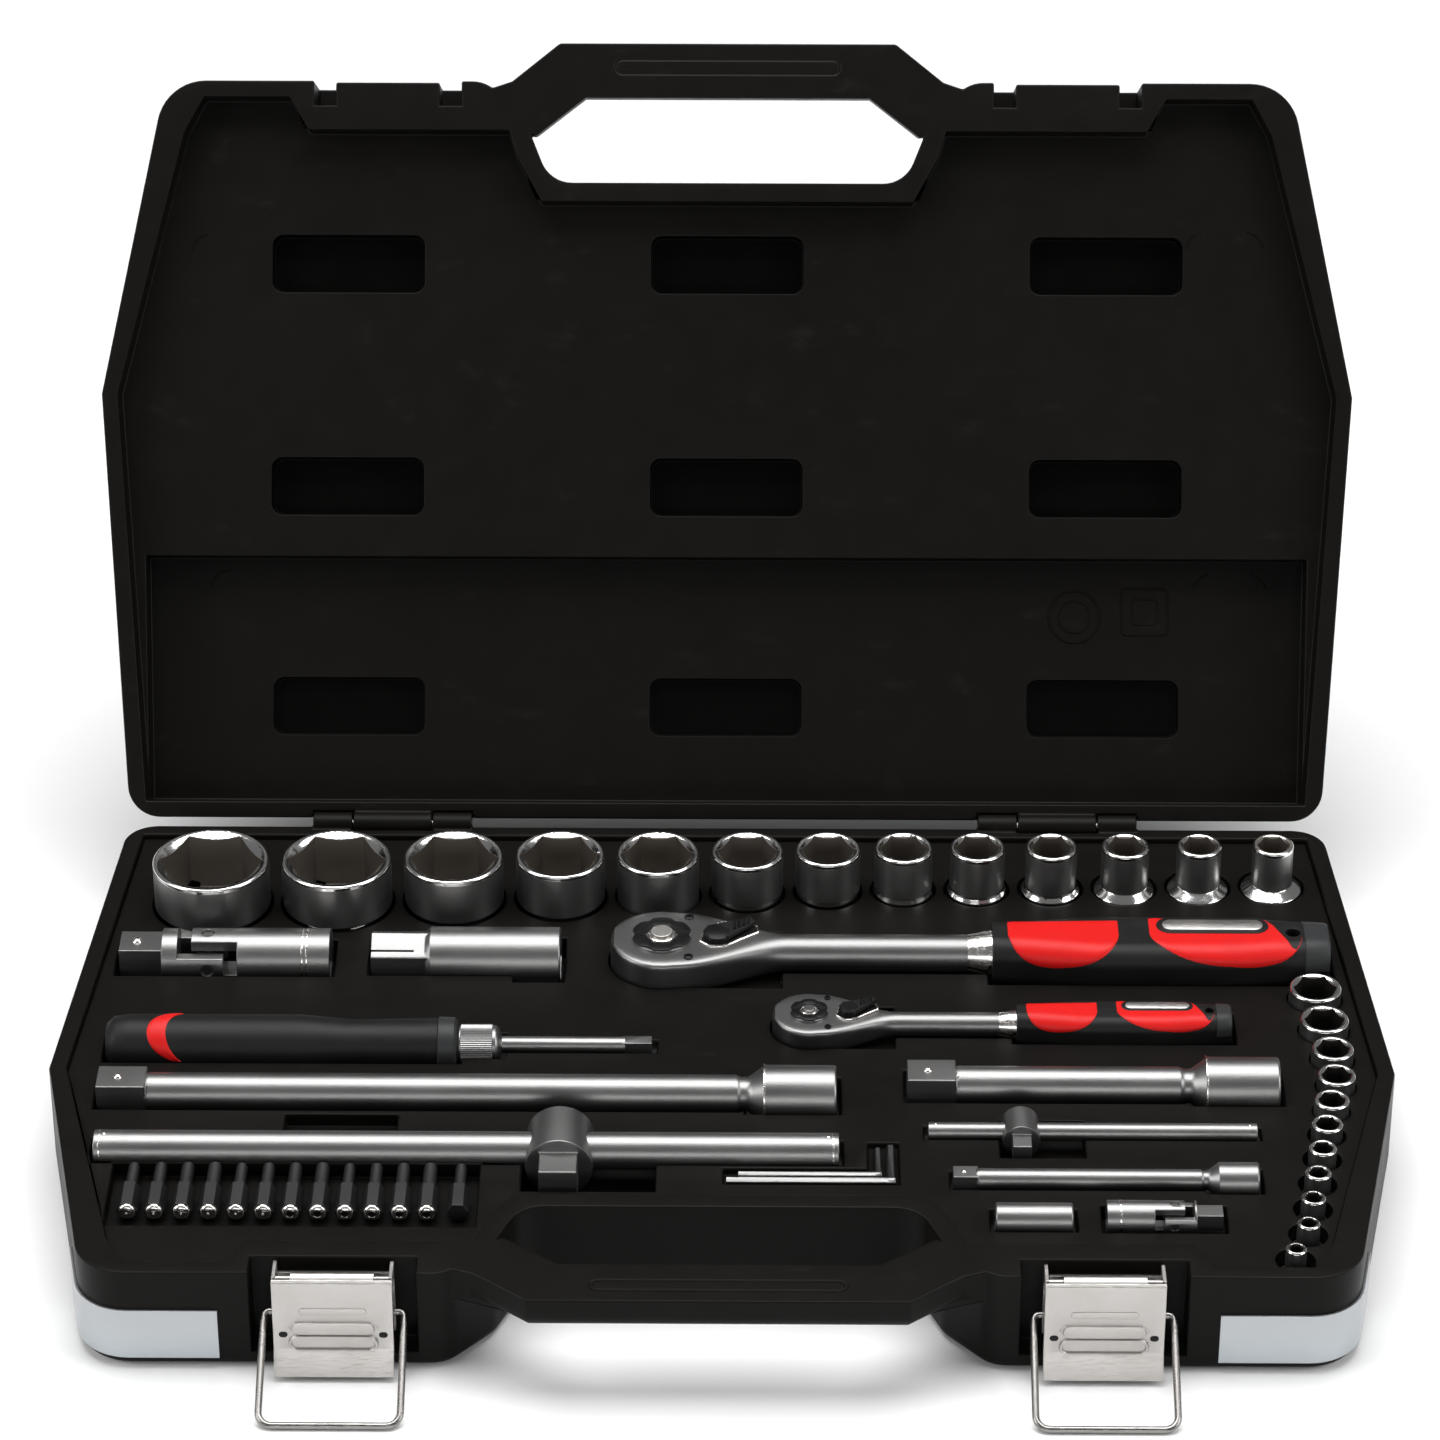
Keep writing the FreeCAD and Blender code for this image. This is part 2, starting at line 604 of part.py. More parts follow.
# finger space beside the plug socket
box_well(S.plugX + 50, S.plugX + 68, S.plugY - 15, S.plugY + 13, trayTop - 9)

# spinner handle

body = new_body("SpinnerHandle")
r = S.spinRadius
spin(body, polygon(body, "SpinnerProfile", [
    (0, 0), (r - 3, 0), (r - 0.8, 2.5), (r, 8), (r, S.spinGrip * 0.55), (r - 1.6, S.spinGrip * 0.7),
                                            (r - 1.0, S.spinGrip - 9),
    (r - 2.2, S.spinGrip - 1), (r - 3, S.spinGrip), (0, S.spinGrip)], "XZ_Plane"))
pocket(body, circle(body, "SpinnerBore", Size(4), lift=S.spinGrip), Size(30))
place(body, S.spinX, S.spinY, axisHeight, TURN["x"])
node("spinner_handle", body)

body = new_body("SpinnerShaft")
stop = S.spinGrip
q = S.driveQuarter
spin(body, polygon(body, "ShaftProfile", [
    (0, stop - 29), (3.98, stop - 29), (3.98, stop), (r - 3.4, stop), (r - 3.4, stop + 12.5),
                                          (r - 4.2, stop + 13.5), (S.spinShaftRadius, stop + 14.5),
    (S.spinShaftRadius, stop + S.spinShaft - 9), (0, stop + S.spinShaft - 9)], "XZ_Plane"))
shank = pad(body, polygon(body, "ShaftSquare", square(q * 0.72), lift=stop + S.spinShaft - 10), Size(10))
body.Tip = shank
place(body, S.spinX, S.spinY, axisHeight, TURN["x"])
node("spinner_shaft", body)
long_well(r + S.slack, S.spinX - 1, S.spinX + S.spinGrip + 1, S.spinY)
long_well(r - 2.4, S.spinX + S.spinGrip, S.spinX + S.spinGrip + 16, S.spinY)
long_well(S.spinShaftRadius + 1, S.spinX + S.spinGrip + 15, S.spinX + S.spinGrip + S.spinShaft + 2, S.spinY)

# extension bars

def extension(name, x, y, length, shank, end, end_long, drive):
    body = new_body(name + "Bar")
    e0 = length - end_long
    spin(body, polygon(body, name + "Profile", [
        (0, drive * 1.2), (shank * 0.93, drive * 1.2), (shank, drive * 1.4), (shank, e0 - end * 0.9),
                                                (shank * 0.88, e0 - end * 0.7),
        (shank * 0.88, e0 - end * 0.5), (end - 0.6, e0), (end, e0 + 0.8), (end, length - 0.6),
                                                (end - 0.6, length), (0, length)], "XZ_Plane"))
    pad(body, polygon(body, name + "Square", square(drive * 0.98)), drive * 1.3)
    pocket(body, polygon(body, name + "Female", square(drive), lift=length), drive * 1.2)
    place(body, x, y, axisHeight, TURN["x"])
    long_well(shank + 0.6 + (drive * 0.707 - shank if (drive * 0.707).value > shank.value else 0), x - 1,
              x + e0 + 2, y)
    long_well(end + S.slack, x + e0 - end * 0.6, x + length + 1.5, y)
    return node(name, body)


extension("extension_half_250", S.extX, S.extY, S.extLong, S.extRadius, S.extEndRadius, Size(25),
          S.driveHalf)
extension("extension_half_125", S.extShortX, S.extShortY, S.extShort, S.extRadius, S.extEndRadius, Size(25),
          S.driveHalf)
extension("extension_quarter_100", S.extSX, S.extSY, S.extSmall, S.extSRadius, S.extSEndRadius, Size(14),
          S.driveQuarter)

# sliding T bars

def t_bar(prefix, x, y, length, radius, head_x, head_radius, head_length, drive, drive_long, slide):
    z = axisHeight
    stock = rod(prefix + "Rod", "x", radius, length, x, y, z)
    node(prefix + "_bar", stock)
    y0 = y - head_length / 2
    barrel = rod(prefix + "HeadBarrel", "y", head_radius, head_length, head_x, y0, z)
    tang = box(prefix + "HeadSquare", *span(head_x, drive), y0 - drive_long, y0 + 1, *span(z, drive))
    hole = rod(prefix + "HeadHole", "x", radius + S.runFit, head_radius * 2 + 4, head_x - head_radius - 2,
               y, z)
    node(prefix + "_head", cut(prefix + "Head", fuse(prefix + "HeadBlank", barrel, tang), hole))
    long_well(radius + 0.7, x - 1.5, x + length + 1.5, y)
    box_well(head_x - head_radius - 1, head_x + head_radius + slide + 1, y0 - drive_long - 1,
             y + head_length / 2 + 1, z - head_radius - S.slack)


t_bar("tbar_half", S.barX, S.barY, S.barLong, S.barRadius, S.barHeadX, S.barHeadRadius, S.barHeadLength,
      S.driveHalf, Size(11), S.barSlide)
t_bar("tbar_quarter", S.barSX, S.barSY, S.barSLong, S.barSRadius, S.barSHeadX, S.barSHeadRadius,
      S.barSHeadLength, S.driveQuarter, Size(7), S.barSSlide)

# bit adapter, hex keys and bits

body = new_body("Adapter")
spin(body, polygon(body, "AdapterProfile", [(0, 0), (S.adapterRadius - 0.5, 0), (S.adapterRadius, 0.5),
                                            (S.adapterRadius, S.adapterLength - 0.5),
                                            (S.adapterRadius - 0.5, S.adapterLength), (0, S.adapterLength)],
                   "XZ_Plane"))
pocket(body, polygon(body, "AdapterDrive", square(S.driveQuarter)), Size(8), reverse=True)
pocket(body, polygon(body, "AdapterHex", hexagon(S.bitFlats + 0.1), lift=S.adapterLength), Size(12))
place(body, S.adapterX, S.adapterY, axisHeight, TURN["x"])
node("bit_adapter", body)
long_well(S.adapterRadius + 0.7, S.adapterX - 1.5, S.adapterX + S.adapterLength + 1.5, S.adapterY)

keyZ = trayTop - S.keyLarge / 2 + 0.6


def hex_key(name, x, y, long, short, flats):
    # long leg along X, short leg along Y, joined by a bend of square-cut hexagon bar
    leg = new_body(name + "Leg")
    pad(leg, polygon(leg, name + "LegHex", hexagon(flats)), long)
    place(leg, x, y, keyZ, TURN["x"])
    foot = new_body(name + "Foot")
    pad(foot, polygon(foot, name + "FootHex", hexagon(flats)), short)
    place(foot, x + long - flats * 0.45, y - flats * 0.3, keyZ, TURN["y"])
    return fuse(name, leg, foot)


keyA = hex_key("KeyLarge", S.keyX, S.keyY, S.keyLong, S.keyShort, S.keyLarge)
keyB = hex_key("KeySmall", S.keyX + 4, S.keyY + 3.6, S.keyLong - 8.5, S.keyShort - 5, S.keySmall)
node("hex_keys", pair("HexKeys", keyA, keyB))
box_well(S.keyX - 1, S.keyX + S.keyLong + 1.5, S.keyY - 2.6, S.keyY + 6.2, keyZ - S.keyLarge * 0.6)
box_well(S.keyX + S.keyLong - 9, S.keyX + S.keyLong + 1.5, S.keyY - 2.6, S.keyY + S.keyShort + 1,
         keyZ - S.keyLarge * 0.6)

bits = []
for i in range(13):
    body = new_body(f"Bit{i}")
    pad(body, polygon(body, f"Bit{i}Hex", hexagon(S.bitFlats)), S.bitLength * 0.5)
    tip = pad(body, circle(body, f"Bit{i}Tip", S.bitFlats * (0.3 + 0.02 * (i % 4))), S.bitLength)
    body.Tip = tip
    place(body, S.bitX + S.bitPitch * i + (1.2 if i == 12 else 0), S.bitY, bitZ, TURN["y"])
    bits.append(body)
node("driver_bits", pair("DriverBits", *bits))
box_well(S.bitX - 7, S.bitX + S.bitPitch * 12 + 7.5, S.bitY - 9.5, S.bitY + S.bitLength + 0.3,
         bitZ - S.bitFlats / 2 - 1)
# finger spaces
box_well(S.barX + 62, S.barX + 100, S.extY - 24, S.extY - 12, trayTop - 5)


# latches

def latch(side, name):
    cx = S.latchX * side
    recess = front + S.recessDepth
    pivotY, pivotZ = front + S.leverPivotOut, leverPivotZ
    bailY, bailZ = front + S.bailPivotIn, bailPivotZ
    t, w = S.metalSheet, S.leverWidth / 2

    # mount: a riveted plate with two ears that carry the lever's pin
    plate = box(name + "MountPlate", *span(cx, S.leverWidth), recess - t, recess, S.recessFloor + 3,
                pivotZ - 2)
    ears = []
    for s in (-1, 1):
        x0 = cx + (w - t if s > 0 else -w)
        ears.append(box(f"{name}Ear{s + 1}", x0, x0 + t, pivotY - 1.9, recess, pivotZ - 3.5, pivotZ + 2))
    hinge_pin = rod(name + "MountPin", "x", Size(1), S.leverWidth, cx - w, pivotY, pivotZ)
    mount = fuse(name + "Mount", plate, *ears, hinge_pin)

    # lever: a pressed plate, curled round the pin at the top and flared at its lower lip
    body = new_body(name + "LeverSheet")
    yFace = front - 1.2
    plan = [(yFace, leverTop), (yFace - t, leverTop - 0.8), (yFace - t - 0.9, 10), (yFace - t - 5.6, 2.2),
            (yFace - t - 4.9, 1.4),
            (yFace - 0.2, 8.6)]
    sheet_part = pad(body, polygon(body, name + "LeverSide", plan, "YZ_Plane"), S.leverWidth, both=True)
    tall = 4.4
    for index, z in enumerate((bailPivotZ - 1.4, bailPivotZ - 7.4)):
        high, low = z + tall / 2, z - tall / 2
        points = [(-14.5, z), (-12.5, high), (12.5, high), (14.5, z), (12.5, low), (-12.5, low)]
        rib = polygon(body, f"{name}Rib{index}", points, "XZ_Plane", lift=0 - yFace + t - 0.5)
        sheet_part = pad(body, rib, Size(1.5))
    body.Tip = sheet_part
    place(body, cx, 0, 0)
    curl = cut(name + "Curl", fuse(name + "CurlRod",
                                   rod(name + "CurlOuter", "x", Size(2.1), 2 * w - 12, cx - w + 6, pivotY,
                                       pivotZ),
                                   box(name + "CurlWeb", cx - w + 6, cx + w - 6, yFace - 0.2, pivotY,
                                       pivotZ, pivotZ + 1.6)),
               rod(name + "CurlHole", "x", 1 + S.runFit, 2 * w, cx - w, pivotY, pivotZ))
    cheeks = []
    for s in (-1, 1):
        x0 = cx + (w - t if s > 0 else -w)
        cheek = box(f"{name}Cheek{s + 1}", x0, x0 + t, yFace - 0.5, bailY + 2.2, bailZ - 2.4, bailZ + 2.6)
        cheeks.append(cut(f"{name}CheekBored{s + 1}", cheek,
                          rod(f"{name}CheekHole{s + 1}", "x", S.bailWire + S.runFit, t * 3, x0 - t, bailY,
                              bailZ)))
    node(f"latch_lever_{name}", fuse(name + "Lever", body, curl, *cheeks))

    # bail: a wire loop, swung down until its bar touches the table
    drop = bailZ - S.bailWire
    reach = root(S.bailReach * S.bailReach - drop * drop)
    half = S.bailSpan / 2 - S.bailWire
    wires = []
    for s in (-1, 1):
        arm = doc.addObject("Part::Cylinder", f"{name}BailArm{s + 1}")
        arm.Radius = bind(arm, "Radius", S.bailWire)
        arm.Height = bind(arm, "Height", S.bailReach)
        place(arm, cx + half * s, bailY, bailZ, Rotation(Vector(0, 0, 1),
                                                         Vector(0, -reach.value, -drop.value)))
        joint_ball = doc.addObject("Part::Sphere", f"{name}BailTop{s + 1}")
        joint_ball.Radius = bind(joint_ball, "Radius", S.bailWire)
        place(joint_ball, cx + half * s, bailY, bailZ)
        corner_ball = doc.addObject("Part::Sphere", f"{name}BailCorner{s + 1}")
        corner_ball.Radius = bind(corner_ball, "Radius", S.bailWire)
        place(corner_ball, cx + half * s, bailY - reach, S.bailWire)
        trunnion = rod(f"{name}BailPin{s + 1}", "x", S.bailWire, half - w + t + 1.5,
                       cx + (w - t - 1.5 if s > 0 else -half), bailY, bailZ)
        wires += [arm, joint_ball, corner_ball, trunnion]
    bar = rod(name + "BailBar", "x", S.bailWire, half * 2, cx - half, bailY - reach, S.bailWire)
    node(f"latch_bail_{name}", fuse(name + "Bail", *wires, bar))
    return mount


mounts = [latch(-1, "left"), latch(1, "right")]

# hinges

axisY, axisZ = back + S.hingeOffset, S.baseHeight
hinge_pins, base_knuckles, lid_knuckles, base_clear, lid_clear, bores = [], [], [], [], [], []
for side in (-1, 1):
    tag = "L" if side < 0 else "R"
    x0 = S.hingeX * side - S.hingeWidth / 2
    quarter = S.hingeWidth / 4
    r, g = S.knuckleRadius, S.sideGap
    hinge_pins.append(rod("HingePin" + tag, "x", S.pinRadius, S.hingeWidth, x0, axisY, axisZ))
    bores.append(rod("HingeBore" + tag, "x", S.pinRadius + S.runFit, S.hingeWidth + 4, x0 - 2, axisY,
                     axisZ))
    for i, (a, b) in enumerate(((x0, x0 + quarter - g / 2), (x0 + 3 * quarter + g / 2, x0 + S.hingeWidth))):
        base_knuckles.append(rod(f"BaseKnuckle{tag}{i}", "x", r, b - a, a, axisY, axisZ))
        base_knuckles.append(box(f"BaseWeb{tag}{i}", a, b, back - 2, axisY + r, axisZ - 3 * r, axisZ))
        lid_clear.append(rod(f"LidClear{tag}{i}", "x", r + g, b - a + 2 * g, a - g, axisY, axisZ))
    a, b = x0 + quarter + g / 2, x0 + 3 * quarter - g / 2
    lid_knuckles.append(rod(f"LidKnuckle{tag}", "x", r, b - a, a, axisY, axisZ))
    lid_knuckles.append(box(f"LidWeb{tag}", a, b, back - 2, axisY + r, axisZ, axisZ + 3 * r))
    base_clear.append(rod(f"BaseClear{tag}", "x", r + g, b - a + 2 * g, a - g, axisY, axisZ))

# base

def grip_plan():
    return [
        (S.gripRoot + 12, front + 12), (S.openHalf, front + 20),
            (S.openHalf - S.openCut, front - S.gripReach + S.gripWidth),
        (S.openCut - S.openHalf, front - S.gripReach + S.gripWidth), (-S.openHalf, front + 20),
            (-S.gripRoot - 12, front + 12),
        (-S.gripRoot - 12, front + 4), (-S.gripRoot, front), (-S.gripHalf, front - S.gripReach),
            (S.gripHalf, front - S.gripReach),
        (S.gripRoot, front), (S.gripRoot + 12, front + 4)]


def grip(name, z0, outer_z):
    body = new_body(name)
    block = pad(body, polygon(body, name + "Plan", grip_plan(), lift=z0), S.gripDepth)
    doc.recompute()
    block = round_edges(body, block, S.gripDepth * 0.5,
                        lambda e: abs(e.CenterOfMass.z - outer_z.value) < 0.01 and abs(e.CenterOfMass.x) < 76
                        and abs(e.Vertexes[0].Z - e.Vertexes[-1].Z) < 0.01)
    body.Tip = block
    return body


baseBlock = moulding("BaseBlock", 0, S.baseHeight, -1)
baseGrip = grip("BaseGrip", S.baseHeight - S.gripDepth, S.baseHeight - S.gripDepth)
trayOpening = prism("TrayOpening", tray_outline(Size(0)), trayTop - S.wall, S.baseHeight + 1)
latchRecess, latchWall = [], []
for side in (-1, 1):
    tag = "L" if side < 0 else "R"
    cx = S.latchX * side
    latchRecess.append(box("LatchRecess" + tag, *span(cx, S.recessWidth), front - 5, front + S.recessDepth,
                           S.recessFloor, S.baseHeight + 1))
    latchWall.append(box("LatchWall" + tag, *span(cx, S.recessWidth + 2 * S.wall), front - 6,
                         front + S.recessDepth + S.wall, S.recessFloor - S.wall, S.baseHeight + 2))

baseHollow = moulding("BaseHollow", S.wall, trayTop - 2 * S.wall, -1, grow=-S.wall, edges=False)
baseRoom = cut("BaseRoom", baseHollow, fuse("LatchWalls", *latchWall))
baseFull = fuse("BaseFull", baseBlock, baseGrip, *base_knuckles)
node("case_base", carve("CaseBase", baseFull, trayOpening, *latchRecess, *base_clear, *bores, baseRoom))

# the tray: a plate level with the top of the base's room, with the wells formed down into it
trayPlate = prism("TrayPlate", tray_outline(Size(0)), trayTop - S.wall, trayTop)
wellShells = common("WellShells", fuse("WellWalls", *walls), baseRoom)
node("case_tray", cut("CaseTray", fuse("TrayBlank", trayPlate, wellShells), fuse("Wells", *wells)))

# trims that wrap the two front corners
trimOuter = moulding("TrimOuter", Size(1), S.trimHeight, -1, grow=S.trimThick, edges=False)
trimInner = moulding("TrimInner", Size(0), S.trimHeight + 2, -1, edges=False)
trimParts = []
for side in (-1, 1):
    tag = "L" if side < 0 else "R"
    xa, xb = (S.halfFront - S.trimFront, S.halfWide) if side > 0 else (-S.halfWide,
                                                                       S.trimFront - S.halfFront)
    window = box("TrimWindow" + tag, xa, xb, front - 2, front + 34, S.edgeRound, S.trimHeight)
    trimParts.append(common("Trim" + tag, cut("TrimShell" + tag, trimOuter, trimInner), window))
node("case_fittings", pair("CaseFittings", *hinge_pins, *mounts, *trimParts))

# lid

lidBottom, lidTop = S.baseHeight, S.baseHeight + S.lidHeight
lidBlock = moulding("LidBlock", lidBottom, S.lidHeight, 1)
lidGrip = grip("LidGrip", lidBottom, S.baseHeight + S.gripDepth)
frontRecess = prism("LidFrontRecess", tray_outline(Size(0)), lidBottom - 1, lidBottom + S.lidFrontDepth)
stepY = back - S.lidBackSection
t = S.wall


def deep_plan(grow):
    return mirrored([(S.halfBack - S.rim + grow, back - S.rim + grow),
                     (S.halfBack + (S.halfWide - S.halfBack) * S.lidBackSection / S.wideFromBack - S.rim - S.bevelRun + grow, stepY - grow)])


deepRecess = prism("LidDeepRecess", deep_plan(Size(0)), lidBottom - 1, lidBottom + S.lidBackDepth)
pockets, pocketWalls = [], []
rows = ((S.lidFrontDepth + S.pocketDeep, back - 204), (S.lidFrontDepth + S.pocketDeep, back - 122),
        (S.lidBackDepth + S.pocketDepth, back - 41))
for line, (depth, middle) in enumerate(rows):
    for column in (-1, 0, 1):
        tag = f"{line}{column + 1}"
        x0, x1 = span(S.pocketPitch * column, S.pocketWidth)
        y0, y1 = span(middle, S.pocketLength)
        made = new_body("LidPocket" + tag)
        outlinePoints = [(x0, y0), (x1, y0), (x1, y1), (x0, y1)]
        blank = pad(made, polygon(made, "LidPocketPlan" + tag, outlinePoints, lift=lidBottom), depth)
        made.Tip = round_edges(made, blank, Size(4), upright)
        pockets.append(made)
        pocketWalls.append(box("LidPocketWall" + tag, x0 - t, x1 + t, y0 - t, y1 + t, lidBottom,
                               lidBottom + depth + t))
keepers, lidRecess, lidRecessWall = [], [], []
recessTop, keeperTop = lidTop - 6, lidBottom + S.keeperHeight
for side in (-1, 1):
    tag = "L" if side < 0 else "R"
    cx = S.latchX * side
    inner = front + S.recessDepth
    lidRecess.append(box("KeeperRecess" + tag, *span(cx, S.recessWidth), front - 5, inner, lidBottom - 1,
                         recessTop))
    lidRecessWall.append(box("KeeperWall" + tag, *span(cx, S.recessWidth + 2 * t), front - 6, inner + t,
                             lidBottom - 2, recessTop + t))
    keepers.append(box("Keeper" + tag, *span(cx, S.keeperWidth), front + 1, inner + 1, lidBottom,
                       keeperTop))
    keepers.append(box("KeeperLip" + tag, *span(cx, S.keeperWidth), front + 0.6, front + 1.8, lidBottom,
                       keeperTop + 1.6))
stops = []
for side in (-1, 1):
    # wedge behind each lid knuckle: its face meets the back of the base when the lid is open
    tag = "L" if side < 0 else "R"
    lean = 180 - S.openAngle
    wedge = new_body("StopWedge" + tag)
    deep = Size(11)
    wedge_pts = [(back - 1, lidBottom + 3.5), (back + 3.5 * sine(lean) / cosine(lean) - 0.6,
                                               lidBottom + 3.5 + 2.6),
                 (back + deep * sine(lean) - 1.2, lidBottom + deep), (back - 1, lidBottom + deep + 6)]
    pad(wedge, polygon(wedge, "StopWedgeSide" + tag, wedge_pts, "YZ_Plane"), S.hingeWidth / 2 - S.sideGap,
        both=True)
    place(wedge, S.hingeX * side, 0, 0)
    stops.append(wedge)

lidHollow = moulding("LidHollow", lidBottom + S.wall, S.lidHeight - 2 * S.wall, 1, grow=-S.wall,
                     edges=False)
lidInner = fuse("LidInnerWalls", prism("LidFrontWall", tray_outline(t), lidBottom - 1,
                                       lidBottom + S.lidFrontDepth + t),
                prism("LidDeepWall", deep_plan(t), lidBottom - 1, lidBottom + S.lidBackDepth + t),
                *pocketWalls, *lidRecessWall)
lidVoid = cut("LidVoid", lidHollow, lidInner)
lidCarved = carve("LidCarved", fuse("LidFull", lidBlock, lidGrip), frontRecess, deepRecess, *pockets,
                  *lidRecess,
                  *lid_clear, lidVoid)
lidBores = [rod("LidBore" + n, "x", S.pinRadius + S.runFit, S.hingeWidth + 4,
                S.hingeX * s - S.hingeWidth / 2 - 2, axisY, axisZ)
            for n, s in (("L", -1), ("R", 1))]
lidShape = carve("LidFinished", fuse("LidWithFittings", lidCarved, *keepers, *lid_knuckles, *stops),
                 *lidBores)
ca, sa = cosine(S.openAngle), sine(S.openAngle)
opened = doc.addObject("Part::Compound", "CaseLid")
opened.Links = [lidShape]
place(opened, 0, axisY - (axisY * ca + axisZ * sa), axisZ - (axisZ * ca - axisY * sa),
      Rotation(Vector(1, 0, 0), -S.openAngle.value))
opened.setExpression("Placement.Rotation.Angle", f"{S.openAngle.text} * 1 deg")
opened.setExpression("Placement.Rotation.Axis.x", "-1")
node("case_lid", opened)

# build, check and write

doc.recompute()
problems = [o.Name for o in doc.Objects if any(flag in ("Invalid", "Error") for flag in o.State)]
if problems:
    raise RuntimeError("not built: " + ", ".join(problems))
os.makedirs("parts", exist_ok=True)
for name, thing in nodes.items():
    shape = thing.Shape
    if shape.isNull() or not shape.isValid():
        raise RuntimeError(name + " has no valid shape")
    shape.exportStep(f"parts/{name}.step")
print(len(nodes), "nodes written")
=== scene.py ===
import json
import math

import bmesh
import bpy
from mathutils import Matrix, Vector


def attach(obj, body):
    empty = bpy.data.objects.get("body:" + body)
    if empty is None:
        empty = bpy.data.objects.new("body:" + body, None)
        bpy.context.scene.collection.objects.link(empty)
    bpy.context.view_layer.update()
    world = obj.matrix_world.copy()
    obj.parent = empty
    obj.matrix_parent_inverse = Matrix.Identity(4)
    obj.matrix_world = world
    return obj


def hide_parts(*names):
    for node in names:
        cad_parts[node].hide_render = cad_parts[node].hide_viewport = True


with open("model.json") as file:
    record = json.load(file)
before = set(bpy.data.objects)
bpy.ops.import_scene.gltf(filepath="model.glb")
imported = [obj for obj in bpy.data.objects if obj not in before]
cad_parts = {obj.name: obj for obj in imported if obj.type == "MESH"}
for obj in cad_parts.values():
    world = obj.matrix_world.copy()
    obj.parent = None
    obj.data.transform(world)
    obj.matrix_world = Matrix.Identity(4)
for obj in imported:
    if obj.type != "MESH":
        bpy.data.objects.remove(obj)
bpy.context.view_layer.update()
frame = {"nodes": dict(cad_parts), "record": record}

mm = 0.001
lidHinge = {"y": 137 * mm, "z": 38 * mm, "open": math.radians(-121)}
print("frame loaded")


class Value:
    # a shader socket that can stand in a sum

    def __init__(self, finish, socket):
        self.finish = finish
        self.socket = socket

    def math(self, operation, other=0.0, swapped=False):
        first, second = (other, self) if swapped else (self, other)
        return self.finish.add("ShaderNodeMath", {"operation": operation}, {0: first, 1: second})

    def __add__(self, other):
        return self.math("ADD", other)

    def __radd__(self, other):
        return self.math("ADD", other, swapped=True)

    def __sub__(self, other):
        return self.math("SUBTRACT", other)

    def __rsub__(self, other):
        return self.math("SUBTRACT", other, swapped=True)

    def __mul__(self, other):
        return self.math("MULTIPLY", other)

    def __rmul__(self, other):
        return self.math("MULTIPLY", other, swapped=True)

    def __lt__(self, other):
        return self.math("LESS_THAN", other)


class Finish:
    # a material being made, with the one way to add a node to it

    def __init__(self, name):
        self.material = bpy.data.materials.new(name)
        self.material.use_nodes = True
        self.tree = self.material.node_tree
        self.tree.nodes.clear()
        self.place = self.add("ShaderNodeTexCoord", output="Object")

    def add(self, kind, settings=None, values=None, output=0):
        made = self.tree.nodes.new(kind)
        for key, value in (settings or {}).items():
            setattr(made, key, value)
        for key, value in (values or {}).items():
            if isinstance(value, Value):
                self.tree.links.new(value.socket, made.inputs[key])
            else:
                made.inputs[key].default_value = value
        return Value(self, made.outputs[output])

    def axis(self, letter, at=None):
        return self.add("ShaderNodeSeparateXYZ", values={0: at or self.place}, output=letter)

    def noise(self, scale, detail=3.0, stretch=(1, 1, 1), roughness=0.5):
        at = self.add("ShaderNodeMapping", values={"Vector": self.place, "Scale": stretch})
        return self.add("ShaderNodeTexNoise",
                        values={"Vector": at, "Scale": scale, "Detail": detail, "Roughness": roughness})

    def cells(self, scale):
        return self.add("ShaderNodeTexVoronoi", {"feature": "F1"}, {"Vector": self.place, "Scale": scale})

    def between(self, value, low, high):
        # a smooth step from 0 at low to 1 at high
        return self.add("ShaderNodeMapRange", {"interpolation_type": "SMOOTHSTEP"},
                        {"Value": value, "From Min": low, "From Max": high, "To Min": 0.0, "To Max": 1.0})

    def mix(self, factor, first, second):
        return self.add("ShaderNodeMix", {"data_type": "RGBA"}, {0: factor, 6: first, 7: second}, output=2)

    def bump(self, height, distance, strength):
        return self.add("ShaderNodeBump",
                        values={"Height": height, "Distance": distance, "Strength": strength})

    def surface(self, **sockets):
        made = self.add("ShaderNodeBsdfPrincipled",
                        values={key.replace("_", " "): value for key, value in sockets.items()})
        out = self.tree.nodes.new("ShaderNodeOutputMaterial")
        self.tree.links.new(made.socket, out.inputs["Surface"])
        return self.material


def grey(level, warm=0.0):
    return (level * (1 + warm), level, level * (1 - warm), 1)


# the long slot-shaped line in the faces where the two grips meet
gripSlot = {"y": -140.6 * mm, "z": 38 * mm, "straight": 38.4 * mm, "radius": 2.6 * mm, "line": 0.9 * mm}


def pressedSlot(f, at, y, z):
    # 1 on the slot's line, 0 beside it and away from the face at z
    across, along, up = (f.axis(letter, at) for letter in "XYZ")
    beyond = (across.math("ABSOLUTE") - gripSlot["straight"]).math("MAXIMUM")
    aside = along - y
    reach = (beyond * beyond + aside * aside).math("SQRT")
    off = (reach - gripSlot["radius"]).math("ABSOLUTE")
    line = 1 - f.between(off, gripSlot["line"] / 3, gripSlot["line"])
    return line * ((up - z).math("ABSOLUTE") < 0.4 * mm)


